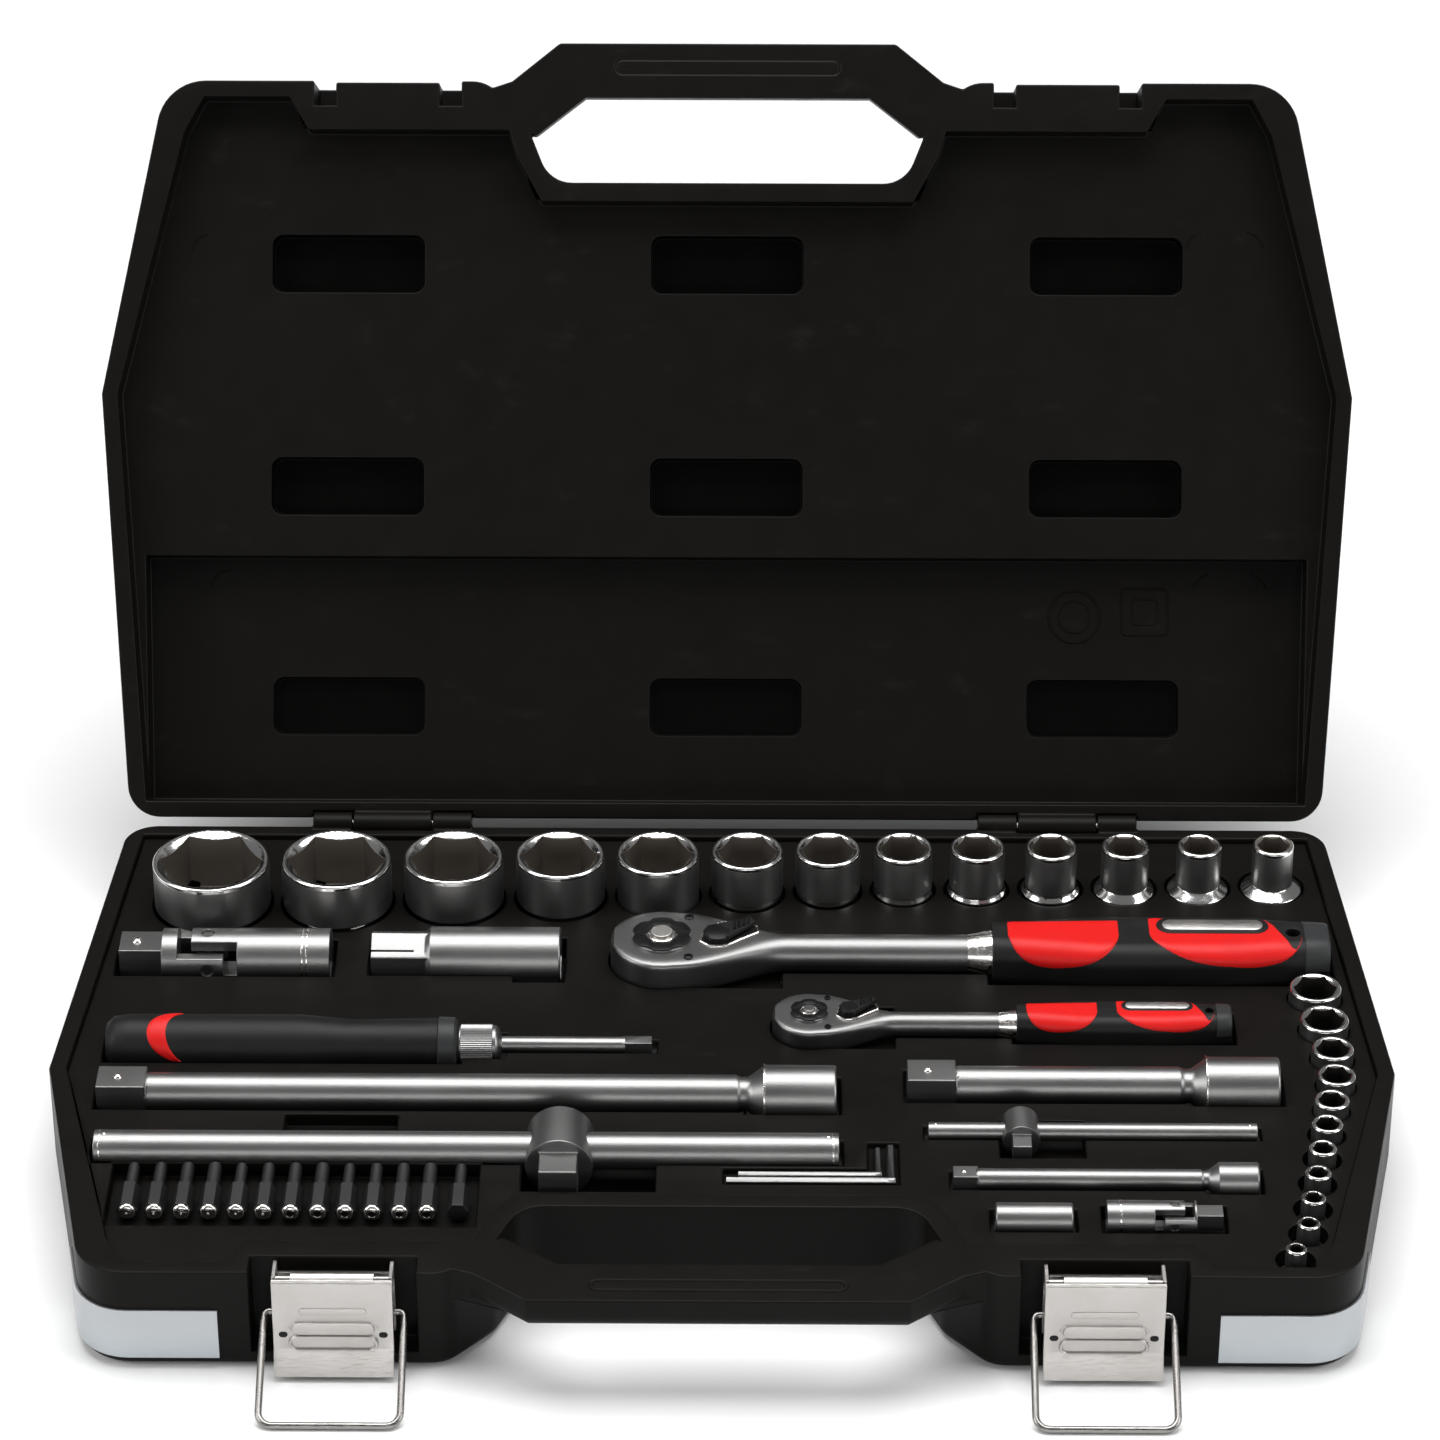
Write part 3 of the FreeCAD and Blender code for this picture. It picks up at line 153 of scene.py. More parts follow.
def casePlastic(name, level=1.0, shine=0.085, slot=None):
    # blow-moulded black polyethylene: fine spark grain, faint waves, a few scuffs
    f = Finish(name)
    grain = f.noise(1500, 2.0, roughness=0.7)
    waves = f.noise(38, 2.0)
    scuff = f.between(f.noise(55, 6.0, stretch=(1, 3, 1), roughness=0.75), 0.56, 0.74)
    colour = f.mix(f.noise(12, 3.0), grey(0.0026 * level, 0.14), grey(0.0042 * level, 0.14))
    colour = f.mix(scuff * 0.35, colour, grey(0.010 * level, 0.1))
    rough = 0.34 + f.noise(90, 4.0) * 0.16 + scuff * 0.08
    height = grain * 0.35 + waves * 2.4
    if slot == "base":
        height = height - pressedSlot(f, f.place, gripSlot["y"], gripSlot["z"]) * 3
    if slot == "lid":
        # the lid is drawn open, so the place is first turned back to the closed one, from the hinge's line
        shut = f.add("ShaderNodeMapping", {"vector_type": "TEXTURE"},
                     {"Vector": f.place, "Location": (0, lidHinge["y"], lidHinge["z"]),
                      "Rotation": (lidHinge["open"], 0, 0)})
        behind, above = gripSlot["y"] - lidHinge["y"], gripSlot["z"] - lidHinge["z"]
        height = height - pressedSlot(f, shut, behind, above) * 3
    return f.surface(Base_Color=colour, Roughness=rough, Normal=f.bump(height, 0.00022, 0.55),
                     Specular_IOR_Level=shine)


def satinSteel(name, level=0.225, rough=0.29, along=(4, 60, 60), warm=0.012):
    # satin chrome: fine bead-blast grain with faint drawn lines along the tool
    f = Finish(name)
    lines = f.noise(60, 3.0, stretch=along)
    grain = f.noise(2600, 1.0)
    cloud = f.noise(45, 3.0)
    colour = f.mix(cloud, grey(level, warm), grey(level * 1.22, warm * 0.5))
    worn = f.between(f.noise(150, 5.0, roughness=0.7), 0.6, 0.8) * 0.4
    colour = f.mix(worn, colour, grey(level * 0.62, 0.02))
    roughness = rough + cloud * 0.08 + lines * 0.07
    return f.surface(Base_Color=colour, Metallic=1.0, Roughness=roughness,
                     Normal=f.bump(grain * 0.5 + lines * 0.6, 0.00006, 0.5))


def socketSteel(name, top, band, flare=None):
    # satin chrome walls with a polished rim and, on the slim ones, a polished flare, brightened in colour as
    # a painted highlight
    f = Finish(name)
    z = f.axis("Z")
    polishAndHighlight = f.between(z, top - band, top - band * 0.75)
    if flare:
        # the flare's band: polished, and its bright colour a painted highlight
        low, high = flare
        ring = f.between(z, low - 0.4 * mm, low) * (1 - f.between(z, high, high + 0.4 * mm))
        polishAndHighlight = polishAndHighlight.math("MAXIMUM", ring)
    grain = f.noise(2600, 1.0)
    cloud = f.noise(60, 3.0)
    turned = f.noise(70, 3.0, stretch=(1, 1, 40))
    colour = f.mix(cloud, grey(0.26, 0.015), grey(0.36, 0.01))
    colour = f.mix(polishAndHighlight, colour, grey(0.80, 0.01))
    rough = 0.30 + cloud * 0.08 + turned * 0.06 - polishAndHighlight * 0.22
    height = (grain * 0.5 + turned * 0.5) * (1 - polishAndHighlight)
    return f.surface(Base_Color=colour, Metallic=1.0, Roughness=rough, Normal=f.bump(height, 0.00006, 0.5))


def nickelPlate(name, level=0.78, rough=0.24):
    # bright nickel on pressed sheet: soft polishing clouds and hairline scratches
    f = Finish(name)
    cloud = f.noise(70, 4.0)
    hair = f.between(f.noise(260, 2.0, stretch=(1, 22, 22)), 0.58, 0.68)
    colour = f.mix(cloud, grey(level, 0.03), grey(level * 0.88, 0.045))
    roughness = rough + cloud * 0.10 + hair * 0.10
    return f.surface(Base_Color=colour, Metallic=1.0, Roughness=roughness,
                     Normal=f.bump(hair + cloud * 2.0, 0.00003, 0.5))


def silverTrim():
    # metallised foil on plastic: a smooth pale face, its colour shifting from pale bluish low down to darker
    # grey higher up as a painted reflection
    f = Finish("silverTrim")
    # painted reflection: pale and bluish at the bottom, greyer and darker higher up
    reflectionFade = f.between(f.axis("Z"), 0.004, 0.023)
    cloud = f.noise(30, 3.0)
    colour = f.mix(reflectionFade, (0.44, 0.47, 0.49, 1), (0.38, 0.39, 0.40, 1))
    colour = f.mix(cloud * 0.3, colour, (0.48, 0.52, 0.55, 1))
    return f.surface(Base_Color=colour, Metallic=0.75, Roughness=0.26 + cloud * 0.1,
                     Normal=f.bump(f.noise(800, 2.0), 0.00002, 0.4))


def mouldedBlack(name, level=0.0042, rough=0.42):
    # harder injection-moulded black for handles and dials
    f = Finish(name)
    grain = f.noise(2100, 2.0, roughness=0.6)
    cloud = f.noise(110, 4.0)
    colour = f.mix(cloud, grey(level, 0.03), grey(level * 1.7, 0.03))
    return f.surface(Base_Color=colour, Roughness=rough + cloud * 0.14, Normal=f.bump(grain, 0.00005, 0.5),
                     Specular_IOR_Level=0.22)


def colouredRubber(name, tone):
    # soft overmoulded rubber: even colour with faint mottling and a fine leathery grain
    f = Finish(name)
    cloud = f.noise(160, 4.0)
    dark = tuple(0.82 * part for part in tone[:3]) + (1,)
    grain = f.cells(1900)
    return f.surface(Base_Color=f.mix(cloud, tone, dark), Roughness=0.36 + cloud * 0.14,
                     Normal=f.bump(grain, 0.00004, 0.5), Specular_IOR_Level=0.22)


plastic = casePlastic("casePlastic")
basePlastic = casePlastic("basePlastic", slot="base")
lidPlastic = casePlastic("lidPlastic", slot="lid")
# a darker, less shiny copy of the case plastic: painted shade for the lid's pockets
pocketShadePlastic = casePlastic("pocketShadePlastic", level=0.3, shine=0.04)
toolSteel = satinSteel("toolSteel")
headSteel = satinSteel("headSteel", level=0.185)
keySteel = satinSteel("keySteel", level=0.20, rough=0.22)
# near-black steel for the bits' bodies: painted shade from the T-bar above them
bitShadeSteel = satinSteel("bitShadeSteel", level=0.055, rough=0.38)
pinSteel = nickelPlate("pinSteel", level=0.6, rough=0.28)
latchNickel = nickelPlate("latchNickel", level=0.50, rough=0.34)
bailWire = nickelPlate("bailWire", level=0.26, rough=0.22)
trimFoil = silverTrim()
handleBlack = mouldedBlack("handleBlack")
dialBlack = mouldedBlack("dialBlack", level=0.0022, rough=0.34)
redRubber = colouredRubber("redRubber", (0.60, 0.0075, 0.0065, 1))
capGrey = colouredRubber("capGrey", (0.026, 0.027, 0.028, 1))
brightSteel = nickelPlate("brightSteel", level=0.86, rough=0.12)
plateSilver = nickelPlate("plateSilver", level=0.62, rough=0.3)
bigSocket = socketSteel("bigSocketSteel", 54 * mm, 1.9 * mm)
midSocket = socketSteel("midSocketSteel", 54 * mm, 1.9 * mm, (35.2 * mm, 38 * mm))
smallSocket = socketSteel("smallSocketSteel", 41 * mm, 1.2 * mm)
# darker, warm-tinted steel for the socket bores: painted shade with a painted warm reflection; the higher
# roughness is the broached bore's duller finish
boreShadeSteel = satinSteel("boreShadeSteel", level=0.20, rough=0.38, warm=0.16)
smallBoreShade = satinSteel("smallBoreShade", level=0.05, rough=0.4, warm=0.1)
print("finishes made")


def settle(name, mesh, body, slot, material, replaced=(), sharp=32, weighted=True):
    # hand a finished mesh to the frame: shading, finish, body and the nodes it stands for
    mesh.polygons.foreach_set("use_smooth", [True] * len(mesh.polygons))
    mesh.set_sharp_from_angle(angle=math.radians(sharp))
    piece = bpy.data.objects.new(name, mesh)
    bpy.context.scene.collection.objects.link(piece)
    mesh.materials.clear()
    mesh.materials.append(material)
    if weighted:
        shade = piece.modifiers.new("evenShade", "WEIGHTED_NORMAL")
        shade.keep_sharp = True
    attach(piece, body)
    if replaced:
        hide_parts(*replaced)
    return piece


def bodyOf(node):
    bodies = frame["record"]["behaviour"]["bodies"]
    return next(body for body, members in bodies.items() if node in members)


def slotOf(node):
    return next(row["material_slot"] for row in frame["record"]["subparts"] if row["node"] == node)


def mergedCopy(node):
    # a CAD node's loose triangles joined into clean faces
    work = bmesh.new()
    work.from_mesh(frame["nodes"][node].data)
    bmesh.ops.remove_doubles(work, verts=work.verts, dist=2e-6)
    bmesh.ops.dissolve_limit(work, angle_limit=math.radians(0.6), verts=work.verts, edges=work.edges)
    bmesh.ops.triangulate(work, faces=[face for face in work.faces if len(face.verts) > 4])
    return work


def roundEdges(work, edges, width):
    bmesh.ops.bevel(work, geom=edges, offset=width, offset_type="OFFSET", affect="EDGES", segments=2,
                    profile=0.5, material=-1, clamp_overlap=False, loop_slide=False)


def soften(work, width, sharp=38):
    # sharp edges rounded as a mould or a tumbler leaves them
    limit = math.radians(sharp)
    roundEdges(work, [e for e in work.edges if len(e.link_faces) == 2 and e.calc_face_angle() > limit], width)


def meshOf(work, name):
    mesh = bpy.data.meshes.new(name)
    work.to_mesh(mesh)
    work.free()
    return mesh


def softCopy(node, name, material, width):
    work = mergedCopy(node)
    soften(work, width)
    return settle(name, meshOf(work, name), bodyOf(node), slotOf(node), material, [node])


def skin(work, rows, ring=False, ends=False):
    # joins rows of points in millimetres with quads
    made = [[work.verts.new(Vector(point) * mm) for point in row] for row in rows]
    for near, far in zip(made, made[1:]):
        count = len(near)
        for i in range(count if ring else count - 1):
            j = (i + 1) % count
            work.faces.new((near[i], near[j], far[j], far[i]))
    if ends:
        work.faces.new(made[0][::-1])
        work.faces.new(made[-1])


def onAxis(axis, along, across, up):
    return {"X": (along, across, up), "Y": (across, along, up), "Z": (across, up, along)}[axis]


def turned(work, profile, at, axis="Z", steps=48):
    # a turned solid from (distance along the axis, radius), closed at both ends
    centre = Vector(at) * mm
    spots = [(profile[0][0], 0), *profile, (profile[-1][0], 0)]
    verts = [work.verts.new(centre + Vector(onAxis(axis, *spot, 0)) * mm) for spot in spots]
    edges = [work.edges.new(pair) for pair in zip(verts, verts[1:])]
    bmesh.ops.spin(work, geom=verts + edges, cent=centre, axis=onAxis(axis, 1, 0, 0), dvec=(0, 0, 0),
                   angle=2 * math.pi, steps=steps, use_merge=True)
    bmesh.ops.remove_doubles(work, verts=work.verts, dist=1e-7)


def stadium(x, y, long, radius, steps=10):
    # outline of a slot with round ends, anticlockwise
    spots = []
    for side in (1, -1):
        for k in range(steps + 1):
            a = math.pi * (k / steps - side / 2)
            spots.append((x + side * (long / 2 - radius) + radius * math.cos(a), y + radius * math.sin(a)))
    return spots


def roundSquare(x, y, wide, tall, radius, steps=4):
    spots = []
    for sx, sy, start in ((1, -1, -90), (1, 1, 0), (-1, 1, 90), (-1, -1, 180)):
        for k in range(steps + 1):
            a = math.radians(start + 90 * k / steps)
            spots.append((x + sx * (wide / 2 - radius) + radius * math.cos(a),
                          y + sy * (tall / 2 - radius) + radius * math.sin(a)))
    return spots


def grown(path, out):
    # a closed outline moved outwards
    moved = []
    for i, (x, y) in enumerate(path):
        before, after = path[i - 1], path[(i + 1) % len(path)]
        tx, ty = after[0] - before[0], after[1] - before[1]
        size = math.hypot(tx, ty) or 1
        moved.append((x + out * ty / size, y - out * tx / size))
    return moved


def plate(work, path, low, high, place, soft=0.3):
    # a flat plate with a softened upper edge
    foot = work.faces.new([work.verts.new(Vector(place(x, y, low)) * mm) for x, y in path])
    made = bmesh.ops.extrude_face_region(work, geom=[foot], use_keep_orig=True)["geom"]
    rise = Vector(place(0, 0, high)) - Vector(place(0, 0, low))
    verts = [part for part in made if isinstance(part, bmesh.types.BMVert)]
    edges = [part for part in made if isinstance(part, bmesh.types.BMEdge)]
    bmesh.ops.translate(work, verts=verts, vec=rise * mm)
    roundEdges(work, edges, soft * mm)


def ridge(work, path, wide, high, place, closed=True):
    # a low rounded bead along an outline
    sides = [(-0.5, -0.3), (-0.42, 0.45), (-0.2, 0.92), (0.2, 0.92), (0.42, 0.45), (0.5, -0.3)]
    if closed:
        lanes = [[place(x, y, high * up) for x, y in grown(path, wide * across)] for across, up in sides]
        skin(work, lanes, ring=True)
        return
    rows = []
    for i, (x, y) in enumerate(path):
        before, after = path[max(i - 1, 0)], path[min(i + 1, len(path) - 1)]
        tx, ty = after[0] - before[0], after[1] - before[1]
        size = math.hypot(tx, ty)
        rows.append([place(x + wide * across * ty / size, y - wide * across * tx / size, high * up)
                     for across, up in sides])
    skin(work, rows, ends=True)


def flat(level):
    # places a level outline at a height
    return lambda x, y, up: (x, y, level + up)


def finished(work, name, node, material, replaced=(), sharp=40, turn=None):
    bmesh.ops.recalc_face_normals(work, faces=work.faces)
    if turn:
        work.transform(turn)
    return settle(name, meshOf(work, name), bodyOf(node), slotOf(node), material, replaced, sharp,
                  weighted=False)


# each copied node's finish and how far its edges are rounded
softCopies = {
    "case_base": (basePlastic, 0.7 * mm),
    "case_tray": (plastic, 0.7 * mm),
    "case_lid": (lidPlastic, 0.7 * mm),
    "latch_lever_left": (latchNickel, 0.25 * mm),
    "latch_lever_right": (latchNickel, 0.25 * mm),
    "spark_plug_socket": (toolSteel, 0.3 * mm),
    "bit_adapter": (toolSteel, 0.15 * mm),
    "hex_keys": (keySteel, 0.15 * mm),
    "driver_bits": (bitShadeSteel, 0.2 * mm),
    "spinner_handle": (handleBlack, 0.3 * mm),
    "spinner_shaft": (toolSteel, 0.2 * mm),
    "extension_half_250": (toolSteel, 0.35 * mm),
    "extension_half_125": (toolSteel, 0.35 * mm),
    "extension_quarter_100": (toolSteel, 0.2 * mm),
    "tbar_half_bar": (toolSteel, 0.4 * mm),
    "tbar_half_head": (toolSteel, 0.4 * mm),
    "tbar_quarter_bar": (toolSteel, 0.25 * mm),
    "tbar_quarter_head": (toolSteel, 0.25 * mm),
    "joint_half_barrel": (toolSteel, 0.3 * mm),
    "joint_half_cross": (toolSteel, 0.15 * mm),
    "joint_half_fork": (toolSteel, 0.3 * mm),
    "joint_quarter_barrel": (toolSteel, 0.2 * mm),
    "joint_quarter_cross": (toolSteel, 0.1 * mm),
    "joint_quarter_fork": (toolSteel, 0.2 * mm),
    "ratchet_half_grip": (handleBlack, 0.4 * mm),
    "ratchet_half_gear": (toolSteel, 0.3 * mm),
    "ratchet_half_button": (latchNickel, 0.3 * mm),
    "ratchet_half_lever": (handleBlack, 0.2 * mm),
    "ratchet_quarter_grip": (handleBlack, 0.3 * mm),
    "ratchet_quarter_gear": (toolSteel, 0.2 * mm),
    "ratchet_quarter_lever": (handleBlack, 0.15 * mm),
}
for node in frame["nodes"]:
    if node.startswith("socket_half_"):
        size = float(node.split("_")[2])
        softCopies[node] = (bigSocket if size >= 22 else midSocket, 0.25 * mm)
    elif node.startswith("socket_quarter_"):
        softCopies[node] = (smallSocket, 0.15 * mm)


def paintBoreShade(piece, finish):
    # the faces that look at the socket's own axis are broached and less polished, and their darker colour is
    # painted shade, warm-tinted as a painted reflection
    mesh = piece.data
    mesh.materials.append(finish)
    low = Vector([min(vert.co[i] for vert in mesh.vertices) for i in range(3)])
    high = Vector([max(vert.co[i] for vert in mesh.vertices) for i in range(3)])
    axis = (low + high) / 2
    for face in mesh.polygons:
        inward = Vector((axis.x - face.center.x, axis.y - face.center.y, 0))
        wall = face.normal.dot(inward.normalized()) > 0.75
        floor = face.normal.z > 0.9 and inward.length < (high.x - low.x) * 0.3
        if wall or floor:
            face.material_index = 1


for node, (material, width) in softCopies.items():
    made = softCopy(node, node + "_shown", material, width)
    if node.startswith("socket_half"):
        paintBoreShade(made, boreShadeSteel)
    elif node.startswith("socket_quarter"):
        paintBoreShade(made, smallBoreShade)
print("copies softened")


def fittingParts():
    # the trims, the hinge pins and the latch mounts come as one node with three finishes
    source = mergedCopy("case_fittings")
    source.faces.index_update()
    left = set(source.faces)
    groups = {"cornerTrims": [], "hingePins": [], "latchMounts": []}
    while left:
        island, edge = set(), [next(iter(left))]
        while edge:
            face = edge.pop()
            if face in island:
                continue
            island.add(face)
            edge += [other for side in face.edges for other in side.link_faces if other not in island]
        left -= island
        spots = [vert.co for face in island for vert in face.verts]
        y = sum(spot.y for spot in spots) / len(spots)
        x = sum(abs(spot.x) for spot in spots) / len(spots)
        groups["hingePins" if y > 0 else "cornerTrims" if x > 0.155 else "latchMounts"].append(island)
    finishes = {"cornerTrims": trimFoil, "hingePins": pinSteel, "latchMounts": latchNickel}
    for name, islands in groups.items():
        work = source.copy()
        keep = {face.index for island in islands for face in island}
        work.faces.ensure_lookup_table()
        bmesh.ops.delete(work, geom=[face for face in work.faces if face.index not in keep],
                         context="FACES")
        soften(work, 0.15 * mm)
        replaced = ["case_fittings"] if name == "latchMounts" else []
        slot = "silver_trim" if name == "cornerTrims" else slotOf("case_fittings")
        settle(name, meshOf(work, name), bodyOf("case_fittings"), slot, finishes[name], replaced)
    source.free()


fittingParts()


ratchets = {
    "ratchet_half": {
        "centre": (-21.5, 51, 39), "head": 18, "thick": 13, "neck": 44, "shank": 6.6, "gear": 10.6,
        "end": 212.5, "grip": 118, "broad": 28, "deep": 19, "screws": (9.5, 12.6, 1.7),
    },
    "ratchet_quarter": {
        "centre": (30, 9, 37.5), "head": 12.6, "thick": 9.5, "neck": 30, "shank": 4.2, "gear": 6.6,
        "end": 175.4, "grip": 74, "broad": 17, "deep": 13, "screws": (6.4, 8.8, 1.2),
    },
}


def pearSections(r):
    # the head seen from above is round at the front and narrows into the shank
    x, y, z = r["centre"]
    half = r["thick"] / 2
    spots = []
    for degrees in (179, 174, 167, 158, 148, 137, 125, 112, 99, 87, 76):
        a = math.radians(degrees)
        slim = 1 - 0.30 * max(0.0, -math.cos(a) - 0.93) / 0.07
        spots.append((x + r["head"] * math.cos(a), r["head"] * math.sin(a), half * slim, 9.0))
    start = spots[-1][0]
    stop = x + r["neck"]
    for k in range(1, 13):
        t = k / 12
        ease = t * t * (3 - 2 * t)
        wide = spots[10][1] * (1 - ease) + r["shank"] * ease
        tall = half * (1 - ease) + r["shank"] * ease
        spots.append((start + (stop - start) * t, wide, tall, 9.0 - 7.0 * ease))
    spots.append((r["end"] - r["grip"] + 8, r["shank"], r["shank"], 2.0))
    rows = []
    for at, wide, tall, power in spots:
        row = []
        for k in range(64):
            a = 2 * math.pi * (k + 0.5) / 64
            c, s = math.cos(a), math.sin(a)
            row.append((at, y + wide * math.copysign(abs(c) ** (2 / power), c),
                        z + tall * math.copysign(abs(s) ** (2 / power), s)))
        rows.append(row)
    return rows


def gripHalf(r, along):
    # half the grip's width at a distance from its front end, following the moulding's plan
    stops = [(0, 0.72), (0.12, 0.8), (0.3, 1), (0.7, 1), (1, 0.74)]
    t = min(max(along / r["grip"], 0), 1)
    for (a, low), (b, high) in zip(stops, stops[1:]):
        if t <= b:
            return r["broad"] / 2 * (low + (high - low) * (t - a) / (b - a))


def gripSpot(r, along, across, lift):
    # a point of the grip's skin; across is the way round it from the crest towards the front
    x = r["end"] - r["grip"] + along
    _, y, z = r["centre"]
    half, corner = gripHalf(r, along), r["deep"] * 0.36
    level = half - corner
    side = -math.copysign(1, across)
    away = abs(across)
    if away <= level:
        return (x, y + side * away, z + r["deep"] / 2 + lift)
    turn = min((away - level) / corner, math.pi / 2)
    down = max(0.0, away - level - corner * math.pi / 2)
    return (x, y + side * (level + (corner + lift) * math.sin(turn)),
            z + r["deep"] / 2 - corner + (corner + lift) * math.cos(turn) - down)


def gripPatch(work, r, start, stop, back, front, lift, power=2.4, lean=0.0, corner=None):
    # an inlay with a straight back edge and a bowed front edge, wrapped round the grip
    rows = []
    columns, lanes = 28, 16
    for i in range(columns + 1):
        t = 0.5 - 0.5 * math.cos(math.pi * i / columns)
        bow = (1 - abs(2 * t - 1) ** power) ** (1 / power)
        bowed = front * bow * (1 + lean * (2 * t - 1))
        straight = back
        if corner and t > corner[0]:
            slope = (t - corner[0]) / (corner[2] - corner[0])
            straight = min(back + (corner[1] - back) * slope, bowed - 0.4)
        row = []
        for j in range(lanes + 1):
            share = j / lanes
            edge = min(share, 1 - share, t * 1.5, (1 - t) * 1.5)
            rise = lift * min(1, edge * 12) - 0.25 * (edge < 0.001)
            row.append(gripSpot(r, start + (stop - start) * t, straight + (bowed - straight) * share, rise))
        rows.append(row)
    skin(work, rows)


def waveRing(x, y, z, radius, depth):
    # a ring with six scallops
    spots = []
    for k in range(96):
        a = 2 * math.pi * k / 96
        reach = radius - depth * max(0.0, math.cos(6 * a)) ** 2
        spots.append((x + reach * math.cos(a), y + reach * math.sin(a), z))
    return spots


def scaleOf(r):
    # the grips' details grow with their width
    return r["broad"] / ratchets["ratchet_half"]["broad"]


def topOf(r):
    # the head's upper face
    return r["centre"][2] + r["thick"] / 2


def ratchetHead(name, r):
    body = name + "_body"
    work = bmesh.new()
    skin(work, pearSections(r), ring=True, ends=True)
    finished(work, name + "Head", body, headSteel, [body], sharp=50)

    # flared end of the shank, polished
    _, y, z = r["centre"]
    head, shank = r["head"], r["shank"]
    flare = shank * 1.22
    start = r["end"] - r["grip"]
    work = bmesh.new()
    turned(work, [(start - head * 0.5, shank * 0.99), (start - head * 0.42, shank * 1.03),
                  (start - head * 0.14, flare * 0.99), (start - 0.4, flare), (start + 1.5, flare * 0.98)],
           (0, y, z), "X")
    finished(work, name + "Flare", body, brightSteel)


def ratchetScrews(name, r):
    # a screw on each side of the dial
    x, y, _ = r["centre"]
    top = topOf(r)
    along, across, size = r["screws"]
    work = bmesh.new()
    for side in (-1, 1):
        turned(work, [(top - 0.6, size), (top + 0.25, size), (top + 0.5, size * 0.8),
                      (top + 0.5, size * 0.45), (top - 0.2, size * 0.4)],
               (x + along, y + side * across, 0), steps=24)
    finished(work, name + "Screws", name + "_body", dialBlack)


def leverBed(name, r):
    # recess of the reversing lever with its raised edge
    x, y, _ = r["centre"]
    head, top = r["head"], topOf(r)
    corners = [(0.78, -0.16), (0.96, -0.32), (1.24, -0.30), (1.50, -0.08), (1.86, 0.18),
               (1.84, 0.34), (1.52, 0.50), (1.18, 0.50), (0.86, 0.26)]
    fan = [(x + head * across, y + head * up) for across, up in corners]
    work = bmesh.new()
    plate(work, fan, top - 1, top + 0.12, flat(0), soft=0.1)
    finished(work, name + "LeverBed", name + "_body", dialBlack)
    work = bmesh.new()
    ridge(work, grown(fan, 0.35), head * 0.055, 0.45, flat(top))
    finished(work, name + "LeverEdge", name + "_body", brightSteel)


def ratchetDial(name, r):
    # scalloped dial ring and the polished disc in it
    x, y, _ = r["centre"]
    gear, crown = r["gear"], topOf(r) + 0.8
    rings = [(0.99, 0.10, -0.3), (0.99, 0.10, 0.45), (0.95, 0.10, 0.6),
             (0.54, -0.05, 0.6), (0.5, -0.05, 0.4), (0.5, -0.05, -0.3)]
    work = bmesh.new()
    skin(work, [waveRing(x, y, crown + up, gear * reach, gear * depth) for reach, depth, up in rings],
         ring=True)
    finished(work, name + "Dial", name + "_gear", dialBlack)
    work = bmesh.new()
    turned(work, [(crown - 0.2, gear * 0.46), (crown + 0.35, gear * 0.46), (crown + 0.55, gear * 0.43),
                  (crown + 0.55, gear * 0.39), (crown + 0.3, gear * 0.38)], (x, y, 0))
    finished(work, name + "Disc", name + "_gear", brightSteel)


def leverHub(name, r):
    # hub of the reversing lever and the four ribs on its thumb piece
    x, y, _ = r["centre"]
    head, top = r["head"], topOf(r)
    pivot = x + head * 1.08
    work = bmesh.new()
    turned(work, [(top + 0.3, head * 0.27), (top + 2.2, head * 0.27), (top + 2.75, head * 0.22),
                  (top + 2.8, 0.3)], (pivot, y, 0), steps=32)
    for rib in range(4):
        gap = head * (0.34 + 0.09 * rib)
        turned(work, [(-head * 0.14, head * 0.028), (head * 0.14, head * 0.028)],
               (pivot + gap, y + gap * 0.62, top + 2.65), "Y", steps=10)
    finished(work, name + "LeverHub", name + "_lever", dialBlack)


def gripInlays(name, r):
    # two red patches, the rear one cut back for the nameplate
    long, scale = r["grip"], scaleOf(r)
    lift, reach = 0.38 * scale, 17.5 * scale
    work = bmesh.new()
    gripPatch(work, r, long * 0.045, long * 0.375, -7.5 * scale, reach, lift)
    gripPatch(work, r, long * 0.465, long * 0.92, -9.5 * scale, reach, lift, power=2.3, lean=0.1,
              corner=(0.78, 5.5 * scale, 0.9))
    finished(work, name + "Inlays", name + "_grip", redRubber)


def gripPlate(name, r):
    # plain nameplate in its raised bed
    long, scale = r["grip"], scaleOf(r)
    _, _, crest = gripSpot(r, long * 0.6, 0, 0)
    middle = r["end"] - long + long * 0.655
    shelf = r["centre"][1] + 3.4 * scale
    work = bmesh.new()
    plate(work, stadium(middle, shelf, long * 0.335, 5 * scale), crest - 0.5, crest + 0.62 * scale,
          flat(0), soft=0.2)
    finished(work, name + "PlateBed", name + "_grip", handleBlack)
    work = bmesh.new()
    plate(work, stadium(middle, shelf, long * 0.3, 3.1 * scale), crest, crest + scale, flat(0), soft=0.25)
    finished(work, name + "Nameplate", name + "_grip", plateSilver)


def gripCap(name, r):
    # grey cap over the grip's end
    long, scale = r["grip"], scaleOf(r)
    corner = r["deep"] * 0.36
    rows = []
    for along, lift in ((long - 9 * scale, -0.2), (long - 8.6 * scale, 0.28), (long - 1.2, 0.28),
                        (long - 0.35, 0.0), (long - 0.35, -1.5)):
        reach = gripHalf(r, along) - corner + corner * math.pi / 2 + r["deep"] * 0.13
        rows.append([gripSpot(r, along, -reach + 2 * reach * j / 40, lift) for j in range(41)])
    work = bmesh.new()
    skin(work, rows)
    finished(work, name + "Cap", name + "_grip", capGrey)


